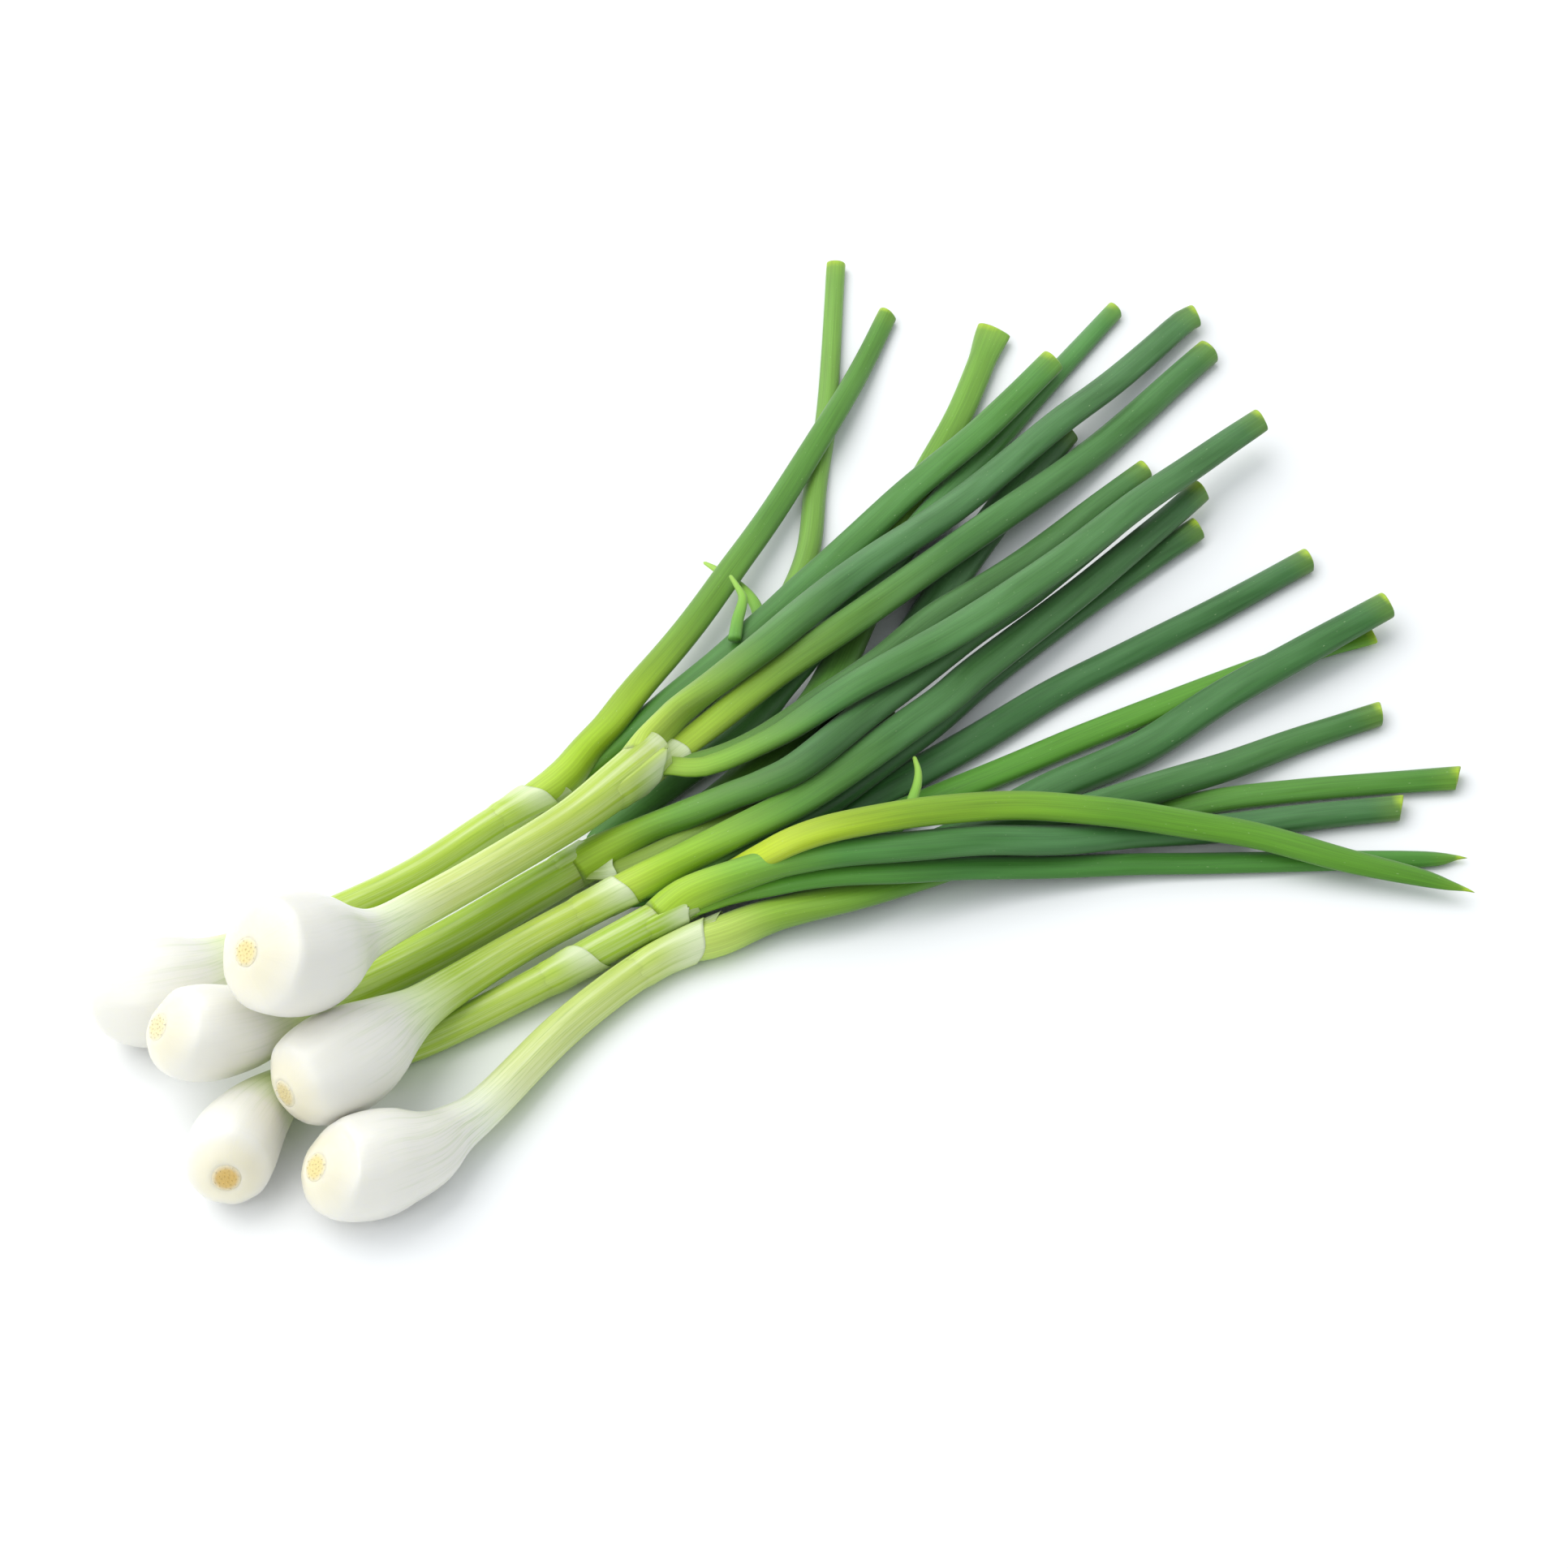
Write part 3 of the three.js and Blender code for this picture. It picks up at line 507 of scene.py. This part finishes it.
def straight_tube(name, sides, rings):
    """A straight closed tube with that many rings between its two end fans, ready to be shaped."""
    deselect_all()
    bpy.ops.mesh.primitive_cylinder_add(vertices=sides, radius=1, depth=1, end_fill_type="TRIFAN")
    tube = bpy.context.object
    tube.name = tube.data.name = name
    bpy.context.tool_settings.mesh_select_mode = (False, True, False)
    for polygon in tube.data.polygons:
        polygon.select = False
    for edge in tube.data.edges:
        low, high = (tube.data.vertices[v].co.z for v in edge.vertices)
        edge.select = abs(high - low) > 0.5
    bpy.ops.object.mode_set(mode="EDIT")
    bpy.ops.mesh.subdivide(number_cuts=rings - 2)
    bpy.ops.object.mode_set(mode="OBJECT")
    return tube


def vertex_places(piece):
    """The place of each vertex, one row each."""
    flat = np.empty(len(piece.data.vertices) * 3)
    piece.data.vertices.foreach_get("co", flat)
    return flat.reshape(-1, 3)


def move_vertices(piece, places):
    """Puts each vertex at its place, given in millimetres."""
    piece.data.vertices.foreach_set("co", (places * MM).ravel())
    piece.data.update()


def tube_places(tube, rings):
    """Angle round the tube, ring number and whether it is a pole, for each vertex."""
    x, y, z = vertex_places(tube).T
    ring = np.rint((z + 0.5) * (rings - 1)).astype(int)
    return np.arctan2(y, x), ring, np.hypot(x, y) < 0.5


def give_attribute(piece, name, kind, values):
    """Stores a value for each vertex, for the finishes to read."""
    attribute = piece.data.attributes.new(name, kind, "POINT")
    field = {"FLOAT_COLOR": "color", "FLOAT_VECTOR": "vector", "FLOAT": "value"}[kind]
    attribute.data.foreach_set(field, np.ascontiguousarray(values, float).ravel())


def give_fibres(piece, angle, way):
    """Stores each vertex's place on the straightened strand, where the fibres run lengthwise."""
    places = np.column_stack([FIBRE_RADIUS * np.cos(angle), FIBRE_RADIUS * np.sin(angle), way])
    give_attribute(piece, "fibre", "FLOAT_VECTOR", places)


def paint(piece, tints, bloom_and_sheen):
    """Stores the colour and the share of pale wax, on leaves partly painted sheen, for each vertex."""
    give_attribute(piece, "tint", "FLOAT_COLOR", np.column_stack([tints, np.ones(len(tints))]))
    give_attribute(piece, "bloom_and_sheen", "FLOAT", bloom_and_sheen)


def face_outwards(piece):
    """Turns all faces outwards and shades them smooth."""
    deselect_all()
    piece.select_set(True)
    bpy.context.view_layer.objects.active = piece
    bpy.ops.object.mode_set(mode="EDIT")
    bpy.ops.mesh.select_all(action="SELECT")
    bpy.ops.mesh.normals_make_consistent(inside=False)
    bpy.ops.object.mode_set(mode="OBJECT")
    bpy.ops.object.shade_smooth()


def dress(piece, material, slot, *nodes):
    """Gives a piece its finish and ties it to the frame."""
    piece.data.materials.clear()
    piece.data.materials.append(material)
    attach(piece, "root")
    if nodes:
        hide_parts(*nodes)


def colours_along(stops, ways):
    """The colour of each way between its stops, in linear light."""
    places = [place for place, _ in stops]
    colours = np.array([linear_colour(code) for _, code in stops])
    return np.column_stack([np.interp(ways, places, colours[:, k]) for k in range(3)])


def skin_tube(name, strand, rings, sides, shape=None):
    """A closed skin round a strand. Each ring is a share of the section and a way along the strand.

    shape, if given, takes angle, way, side and top offsets and gives the last three back changed.
    """
    tube = straight_tube(name, sides, len(rings))
    angle, ring, pole = tube_places(tube, len(rings))
    share, ring_way = np.array(rings, float).T
    centre, side, top, half, thick = strand.sections(ring_way)
    share_here = np.where(pole, 0, share[ring])
    sideways = np.cos(angle) * half[ring] * share_here
    upwards = np.sin(angle) * thick[ring] * share_here
    way = ring_way[ring]
    if shape is not None:
        sideways, upwards, way = shape(angle, way, sideways, upwards)
    slide = way - ring_way[ring]
    along = np.cross(top, side)[ring]
    places = (centre[ring] + side[ring] * sideways[:, None] + top[ring] * upwards[:, None]
              + along * slide[:, None])
    places[:, 2] = np.maximum(places[:, 2], 0)
    move_vertices(tube, places)
    give_fibres(tube, angle, way)
    face_outwards(tube)
    return tube, angle, way, ring


def stalk_tints(plant, way, angle):
    """Ivory at the bulb, then the plant's own greens, with painted shade in a deeper lime on the underside.
    """
    green = eased(way, BULB_LENGTH, BULB_LENGTH + GREENING_LENGTH)
    tints = colours_along(STALK_COLOURS[plant], way) * mixed(np.ones(3), STALK_DEPTH, green)
    tints = mixed(linear_colour(ROOT_HALO), tints, eased(way, 0, HALO_LENGTH))
    # The underside is painted a deeper lime as shade
    shaded_underside = eased(-np.sin(angle), -0.3, 1) * eased(way, BULB_LENGTH, BULB_LENGTH + SHADING_LENGTH)
    return mixed(tints, linear_colour(SHADOW_LIME), SHADING_SHARE * shaded_underside)


def stalk_skin(plant, strand):
    """Bulb and stalk in one skin that ends in an open mouth, with a thin lip round the leaves."""
    end = strand.way[-1]
    ways = np.concatenate([np.arange(1, BULB_LENGTH), np.arange(BULB_LENGTH, end, RING_SPACING)])
    lip = [(share, end + past) for share, past in MOUTH_LIP]
    rings = BULB_BASE + [(1, way) for way in ways] + lip
    reach, lean_side = MOUTHS[plant]

    def shape(angle, way, sideways, upwards):
        ribs = (FINE_RIBS * np.cos(9 * angle + 0.03 * way)
                + BROAD_RIBS * np.cos(5 * angle - 0.02 * way + ord(plant)))
        lean = reach * np.cos(angle - math.radians(lean_side))
        way = way + lean * eased(way, end - MOUTH_LEAN_LENGTH, end)
        return sideways * (1 + ribs), upwards * (1 + ribs), way

    skin, angle, way, _ = skin_tube(f"stalk_skin_{plant}", strand, rings, STALK_SIDES, shape)
    dry_edge = 0.35 * eased(way, end - 2.5, end)
    tints = mixed(stalk_tints(plant, way, angle), linear_colour(THIN_SKIN), dry_edge)
    paint(skin, tints, 1 - eased(way, 8, BULB_LENGTH))
    dress(skin, FINISHES["stalk"], "bulb_and_stalk", f"stalk_{plant}")


def leaf_rings(name, end):
    """The rings of a leaf from its foot to its tip, and how many come before those of the tip."""
    start = FIRST_LEAF_START if is_first(name) else [(1, 0)]
    wall = start + [(1, way) for way in np.arange(RING_SPACING, end - 1, RING_SPACING)]
    tip = POINTED_TIP if name in POINTED else CUT_TIP
    return wall + [(share, end + past) for share, past in tip], len(wall)


def leaf_form(name, strand):
    """How a leaf departs from its plain section: soft facets, its cut end, and a foot that fits its mouth."""
    end = strand.way[-1]
    cut = USUAL_CUT | CUTS.get(name, {})
    seed = sum(ord(letter) * (place + 3) for place, letter in enumerate(name))

    def shape(angle, way, sideways, upwards):
        clear = eased(way, 10, 40)
        drift = clear * (SLOW_DRIFT * np.sin(way / 23 + seed) + QUICK_DRIFT * np.sin(way / 9 + 2 * seed))
        facet = clear * FACETS * np.cos(3 * (angle - 0.6) + way / 60 + seed)
        flare = 1 + cut["flare"] * eased(way, end - CUT_FLARE_LENGTH, end)
        pinch = 1 - cut["pinch"] * eased(way, end - CUT_PINCH_LENGTH, end)
        sideways = sideways * (1 + drift + facet) * flare
        upwards = upwards * (1 - drift + facet) * pinch
        if is_first(name):
            flush = FLUSH_SWELL + strand.half[0] - strand.thick[0]
            crown = flush + (CROWNS.get(name, flush) - flush) * eased(way, 0, MOUTH_DEPTH)
            sideways = sideways + FLUSH_SWELL * np.cos(angle) * (1 - eased(way, 4, 24))
            upwards = upwards + crown * np.sin(angle) * (1 - eased(way, 10, 34))
        if name in TUCKS:
            aside, down, held, free = TUCKS[name]
            sideways = sideways + aside * (1 - eased(way, held, free))
            upwards = upwards + down * (1 - eased(way, held, free))
        lean = cut["lean"] * np.cos(angle - math.pi)
        return sideways, upwards, way + lean * eased(way, end - CUT_LEAN_LENGTH, end)

    return shape


def leaf_skin(name, strand, stalk):
    """A hollow leaf, cut across or with its own point. The first leaf carries its stalk's skin on."""
    end = strand.way[-1]
    rings, before_tip = leaf_rings(name, end)
    form = leaf_form(name, strand)
    skin, angle, way, ring = skin_tube(f"leaf_skin_{name}", strand, rings, LEAF_SIDES, form)
    tints = colours_along(LEAF_COLOURS[name], way) * mixed(LEAF_FOOT_DEPTH, LEAF_DEPTH, eased(way, 0, 60))
    # A leaf's underside is darkened by painted shade
    up = eased(np.sin(angle), -0.7, 0.8)
    tints = mixed(tints * UNDERSIDE_SHADE, tints, up)
    if is_first(name):
        foot = stalk.way[-1] - MOUTH_DEPTH
        tints = mixed(stalk_tints(name[0], foot + way, angle), tints, eased(way, 2, 20))
    rim = 0.8 * eased(way, end - 1.4, end - 0.2) + 0.2 * eased(way, end - 9, end)
    in_hollow = (ring > before_tip + RIM_RINGS) & (name not in POINTED)
    tints = mixed(tints, linear_colour(CUT_RIM), np.where(in_hollow, 0.3, rim))
    # The pale wax goes only where the leaf faces up, as painted sheen as well as wax
    paint(skin, tints, up * eased(way, 20, 70) * WAX_SHEEN.get(name, USUAL_WAX_SHEEN) * (1 - rim))
    dress(skin, FINISHES["leaf"], frame_slot(f"leaf_{name}"), f"leaf_{name}")


def shoot_skin(name, strand):
    """A young shoot, solid, that tapers to its own point."""
    end = strand.way[-1]
    rings = [*((1, way) for way in np.arange(0, end)), (1, end), (0.5, end + 0.4)]
    skin, _, way, _ = skin_tube(f"{name}_skin", strand, rings, SHOOT_SIDES)
    paint(skin, colours_along(SHOOT_COLOURS, way), 0 * way)
    dress(skin, FINISHES["leaf"], "leaf_light", name)


def frame_slot(node):
    """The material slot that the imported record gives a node."""
    return next(part["material_slot"] for part in frame["record"]["subparts"] if part["node"] == node)


def root_stubs(random):
    """Short clipped roots, spread over the plate in a spiral and tilted at random."""
    stubs = []
    for k in range(STUBS):
        turn = k * GOLDEN_TURN
        reach = STUB_REACH * math.sqrt((k + 0.5) / STUBS)
        length = random.uniform(*STUB_LENGTHS)
        tilt = (random.uniform(-STUB_TILT, STUB_TILT), random.uniform(-STUB_TILT, STUB_TILT), 0)
        place = (reach * math.cos(turn), reach * math.sin(turn), STUB_HEIGHT)
        bpy.ops.mesh.primitive_cone_add(vertices=STUB_SIDES, depth=length, location=place, rotation=tilt,
                                        **STUB_RADII)
        stubs.append(bpy.context.object)
    return stubs


def root_plate(plant, strand):
    """The low tan plate where the roots were clipped, with their short stubs."""
    deselect_all()
    bpy.ops.mesh.primitive_cylinder_add(vertices=PLATE_SIDES, radius=PLATE_RADIUS, depth=PLATE_DEPTH,
                                        end_fill_type="NGON")
    plate = bpy.context.object
    plate.name = plate.data.name = f"root_plate_{plant}"
    bpy.context.tool_settings.mesh_select_mode = (False, False, True)
    for polygon in plate.data.polygons:
        polygon.select = polygon.normal.z > 0.9
    bpy.ops.object.mode_set(mode="EDIT")
    for inset, rise in PLATE_STEPS:
        bpy.ops.mesh.inset(thickness=inset)
        bpy.ops.transform.translate(value=(0, 0, rise))
    bpy.ops.mesh.poke()
    bpy.ops.object.mode_set(mode="OBJECT")
    pieces = [plate, *root_stubs(np.random.default_rng(ord(plant)))]
    bpy.ops.object.select_all(action="DESELECT")
    for piece in pieces:
        piece.select_set(True)
    bpy.context.view_layer.objects.active = plate
    bpy.ops.object.join()
    flat = vertex_places(plate)
    x, y, z = flat.T
    centre, side, top, _, _ = (value[0] for value in strand.sections(np.array([0.0])))
    outward = np.cross(side, top)
    move_vertices(plate, centre + np.outer(x, side) + np.outer(y, top) + np.outer(z - PLATE_SUNK, outward))
    give_attribute(plate, "fibre", "FLOAT_VECTOR", flat)
    own = np.tile(linear_colour(PLATE_COLOURS[plant]), (len(x), 1))
    halo = eased(np.hypot(x, y), PLATE_HALO_START * PLATE_RADIUS, PLATE_HALO_END * PLATE_RADIUS)
    paint(plate, mixed(own, linear_colour(ROOT_HALO), halo), 0 * x)
    face_outwards(plate)
    dress(plate, FINISHES["root"], "root_plate", f"roots_{plant}")


def thin_skin(name, strand, on, start, edge, slant, angle, spread, lift):
    """A thin pale skin wrapped on a strand, with its far edge slanted and lifted a little."""
    deselect_all()
    bpy.ops.mesh.primitive_grid_add(size=2, **THIN_SKIN_GRID)
    skin = bpy.context.object
    skin.name = skin.data.name = name
    across, run, _ = vertex_places(skin).T
    run = (run + 1) / 2
    ragged = 0.2 * np.sin(5 * across + edge)
    ways = start + (edge + slant * across + ragged - start) * run
    turn = math.radians(angle) + math.radians(spread) * across
    centre, side, top, half, thick = strand.sections(ways)
    ripple = 0.1 * np.sin(8 * across + 3 * run) * eased(run, 0.6, 1)
    tucked = eased(run, 0, 0.25) * (1 - eased(np.abs(across), 0.85, 1))
    rise = (THIN_SKIN_RISE + lift * eased(run, 0.4, 1) + ripple) * tucked - THIN_SKIN_TUCK
    places = (centre + side * (np.cos(turn) * (half + rise))[:, None]
              + top * (np.sin(turn) * (thick + rise))[:, None])
    places[:, 2] = np.maximum(places[:, 2], THIN_SKIN_CLEARANCE)
    move_vertices(skin, places)
    give_fibres(skin, turn, ways)
    if on in LEAVES:
        own = colours_along(LEAF_COLOURS[on], ways) * LEAF_FOOT_DEPTH
    else:
        own = stalk_tints(on, ways, turn)
    shown = 0.75 * eased(run, 0.2, 1) * (1 - 0.9 * eased(np.abs(across), 0.45, 1))
    paint(skin, mixed(own, linear_colour(THIN_SKIN), shown), 0.5 * shown)
    solidify = skin.modifiers.new("skin", "SOLIDIFY")
    solidify.thickness = THIN_SKIN_WALL * MM
    solidify.offset = -1
    bpy.ops.object.modifier_apply(modifier=solidify.name)
    face_outwards(skin)
    dress(skin, FINISHES["thin skin"], "bulb_and_stalk")


class Shader:
    """A new material with its node tree, and short calls for the nodes that the finishes use."""

    # Where a mix node of colours takes its share and its two colours, and gives its result
    MIX_SHARE, MIX_FIRST, MIX_SECOND, MIX_RESULT = 0, 6, 7, 2

    def __init__(self, name):
        self.material = bpy.data.materials.new(name)
        self.material.use_nodes = True
        self.tree = self.material.node_tree
        self.skin = self.tree.nodes["Principled BSDF"]

    def node(self, kind, **sockets):
        """A new node with each of its sockets fed a value or another node's output."""
        made = self.tree.nodes.new(kind)
        for socket, value in sockets.items():
            self.feed(made.inputs[socket.replace("_", " ")], value)
        return made

    def feed(self, place, value):
        """Links an output to a socket, or sets the socket to a constant."""
        if isinstance(value, bpy.types.NodeSocket):
            self.tree.links.new(value, place)
        else:
            place.default_value = value

    def attribute(self, name, output="Vector"):
        """A value that was stored for each vertex."""
        made = self.tree.nodes.new("ShaderNodeAttribute")
        made.attribute_name = name
        return made.outputs[output]

    def noise(self, scale, detail=2.0, roughness=0.5):
        """Noise on the straightened skin: the scale is given for each direction of the fibre."""
        mapping = self.node("ShaderNodeMapping", Vector=self.attribute("fibre"), Scale=scale)
        return self.node("ShaderNodeTexNoise", Vector=mapping.outputs[0], Scale=1.0, Detail=detail,
                         Roughness=roughness).outputs["Fac"]

    def ranged(self, value, low, high, new_low, new_high):
        """The value brought from one range to another."""
        return self.node("ShaderNodeMapRange", Value=value, From_Min=low, From_Max=high, To_Min=new_low,
                         To_Max=new_high).outputs[0]

    def multiply(self, first, second):
        """Two numbers multiplied."""
        made = self.tree.nodes.new("ShaderNodeMath")
        made.operation = "MULTIPLY"
        self.feed(made.inputs[0], first)
        self.feed(made.inputs[1], second)
        return made.outputs[0]

    def blend(self, first, second, share, kind="MIX"):
        """One colour going over to another."""
        made = self.tree.nodes.new("ShaderNodeMix")
        made.data_type = "RGBA"
        made.blend_type = kind
        self.feed(made.inputs[self.MIX_SHARE], share)
        self.feed(made.inputs[self.MIX_FIRST], first)
        self.feed(made.inputs[self.MIX_SECOND], second)
        return made.outputs[self.MIX_RESULT]

    def brighten(self, colour, value):
        """The colour times a grey value."""
        grey = self.node("ShaderNodeCombineColor", Red=value, Green=value, Blue=value)
        return self.blend(colour, grey.outputs[0], 1.0, "MULTIPLY")

    def bump(self, height, depth, strength):
        """Relief of the given depth in millimetres."""
        made = self.node("ShaderNodeBump", Height=height, Strength=strength, Distance=depth * MM)
        self.tree.links.new(made.outputs[0], self.skin.inputs["Normal"])

    def give(self, **sockets):
        """Sets the skin itself: its colour, roughness and so on."""
        for socket, value in sockets.items():
            self.feed(self.skin.inputs[socket.replace("_", " ")], value)


def colour_value(code):
    """A colour code as a colour socket takes it."""
    return (*linear_colour(code), 1)


def leaf_finish():
    """Green skin with fine lengthwise fibres, darker and lighter patches, and a pale wax on top that is
    partly painted sheen.
    """
    shader = Shader("onion_leaf_skin")
    fibres = shader.noise((3.2, 3.2, 0.03), 3)
    patches = shader.noise((0.3, 0.3, 0.035), 2)
    specks = shader.noise((2.2, 2.2, 0.9), 1)
    colour = shader.brighten(shader.attribute("tint", "Color"), shader.ranged(fibres, 0.3, 0.7, 0.86, 1.14))
    colour = shader.brighten(colour, shader.ranged(patches, 0.3, 0.7, 0.88, 1.12))
    # Pale wax that is partly painted sheen, on the tops only
    wax_sheen = shader.multiply(shader.attribute("bloom_and_sheen", "Fac"), shader.ranged(patches, 0.35, 0.7, 0.05, 0.45))
    colour = shader.blend(colour, colour_value(LEAF_WAX_SHEEN), wax_sheen)
    colour = shader.blend(colour, colour_value(LEAF_SPECK), shader.ranged(specks, 0.76, 0.82, 0, 0.35))
    shader.give(Base_Color=colour, Roughness=shader.ranged(patches, 0.3, 0.7, 0.34, 0.5), IOR=1.42,
                Subsurface_Weight=0.12, Subsurface_Radius=(0.6, 1.0, 0.3), Subsurface_Scale=0.0012,
                Sheen_Weight=0.15, Sheen_Roughness=0.5)
    shader.bump(fibres, 0.08, 0.5)
    return shader.material


def stalk_finish(name, depth_of_glow):
    """Moist white bulb skin that turns into a pale stalk striped by green veins."""
    shader = Shader(name)
    veins = shader.noise((3.6, 3.6, 0.05), 3, 0.65)
    broad = shader.noise((1.1, 1.1, 0.02), 2)
    cloud = shader.noise((0.12, 0.12, 0.06), 2)
    tint = shader.attribute("tint", "Color")
    white = shader.attribute("bloom_and_sheen", "Fac")
    pale = shader.blend(tint, colour_value(STALK_PALE), shader.ranged(broad, 0.45, 0.75, 0, 0.4))
    green = shader.blend(pale, colour_value(STALK_VEIN), shader.ranged(veins, 0.5, 0.74, 0, 0.5))
    colour = shader.blend(green, tint, white)
    colour = shader.brighten(colour, shader.ranged(cloud, 0.3, 0.7, 0.97, 1.03))
    shader.give(Base_Color=colour, Roughness=shader.ranged(broad, 0.3, 0.7, 0.28, 0.4), IOR=1.42,
                Subsurface_Weight=depth_of_glow, Subsurface_Radius=(1.0, 1.0, 0.55), Subsurface_Scale=0.003,
                Coat_Weight=0.15, Coat_Roughness=0.25)
    shader.bump(veins, 0.1, 0.5)
    return shader.material


def root_finish():
    """Dry tan tissue of the root plate."""
    shader = Shader("onion_root_plate")
    grain = shader.noise((1.8, 1.8, 1.8), 4, 0.7)
    colour = shader.brighten(shader.attribute("tint", "Color"), shader.ranged(grain, 0.3, 0.7, 0.9, 1.06))
    shader.give(Base_Color=colour, Roughness=shader.ranged(grain, 0.3, 0.7, 0.6, 0.85),
                Subsurface_Weight=0.15, Subsurface_Radius=(1.0, 0.8, 0.4), Subsurface_Scale=0.001)
    shader.bump(grain, 0.3, 0.6)
    return shader.material


def floor_finish():
    """Smooth white table top."""
    shader = Shader("white_table")
    shader.give(Base_Color=(0.93, 0.935, 0.94, 1), Roughness=0.6)
    return shader.material


def facing(place):
    """The turn that points a camera or a light at the middle of the bunch."""
    x, y, z = (aim - start for aim, start in zip(CAMERA_AIM, place))
    return math.atan2(math.hypot(x, y), -z), 0, math.atan2(-x, y)


def area_light(name, place, size, power, colour):
    """A square soft light that faces the middle of the bunch."""
    bpy.ops.object.light_add(type="AREA", location=place)
    light = bpy.context.object
    light.name = name
    light.data.size = size
    light.data.energy = power
    light.data.color = colour
    light.rotation_euler = facing(place)


FINISHES = {
    "leaf": leaf_finish(),
    "stalk": stalk_finish("onion_bulb_and_stalk_skin", 0.35),
    "thin skin": stalk_finish("onion_thin_skin", 0),
    "root": root_finish(),
}

bunch = lay_bunch()
for plant in STALKS:
    stalk_skin(plant, bunch[plant])
    root_plate(plant, bunch[plant])
for leaf in LEAVES:
    leaf_skin(leaf, bunch[leaf], bunch[leaf[0]])
for name, skin in THIN_SKINS.items():
    thin_skin(name, bunch[skin["on"]], **skin)
for shoot in SHOOTS:
    shoot_skin(shoot, bunch[shoot])

deselect_all()
bpy.ops.mesh.primitive_plane_add(size=TABLE_SIZE, location=(0, 0, -TABLE_DROP))
table = bpy.context.object
table.name = "white_table"
table.data.materials.append(floor_finish())

bpy.ops.object.camera_add(location=CAMERA_PLACE)
camera = bpy.context.object
camera.data.lens = 100
camera.data.sensor_width = 36
camera.data.clip_start = 0.01
camera.rotation_euler = facing(CAMERA_PLACE)
bpy.context.scene.camera = camera

area_light("key_light", place=(-0.1, 0.7, 1.0), size=1.5, power=13, colour=(1, 0.995, 0.98))
area_light("fill_light", place=(-0.8, -0.1, 0.7), size=0.8, power=3, colour=(1, 1, 1))

world = bpy.data.worlds.new("studio")
bpy.context.scene.world = world
world.use_nodes = True
background = world.node_tree.nodes["Background"]
background.inputs["Color"].default_value = (0.91, 0.955, 1, 1)
background.inputs["Strength"].default_value = 0.7
bpy.context.scene.view_settings.view_transform = "Standard"
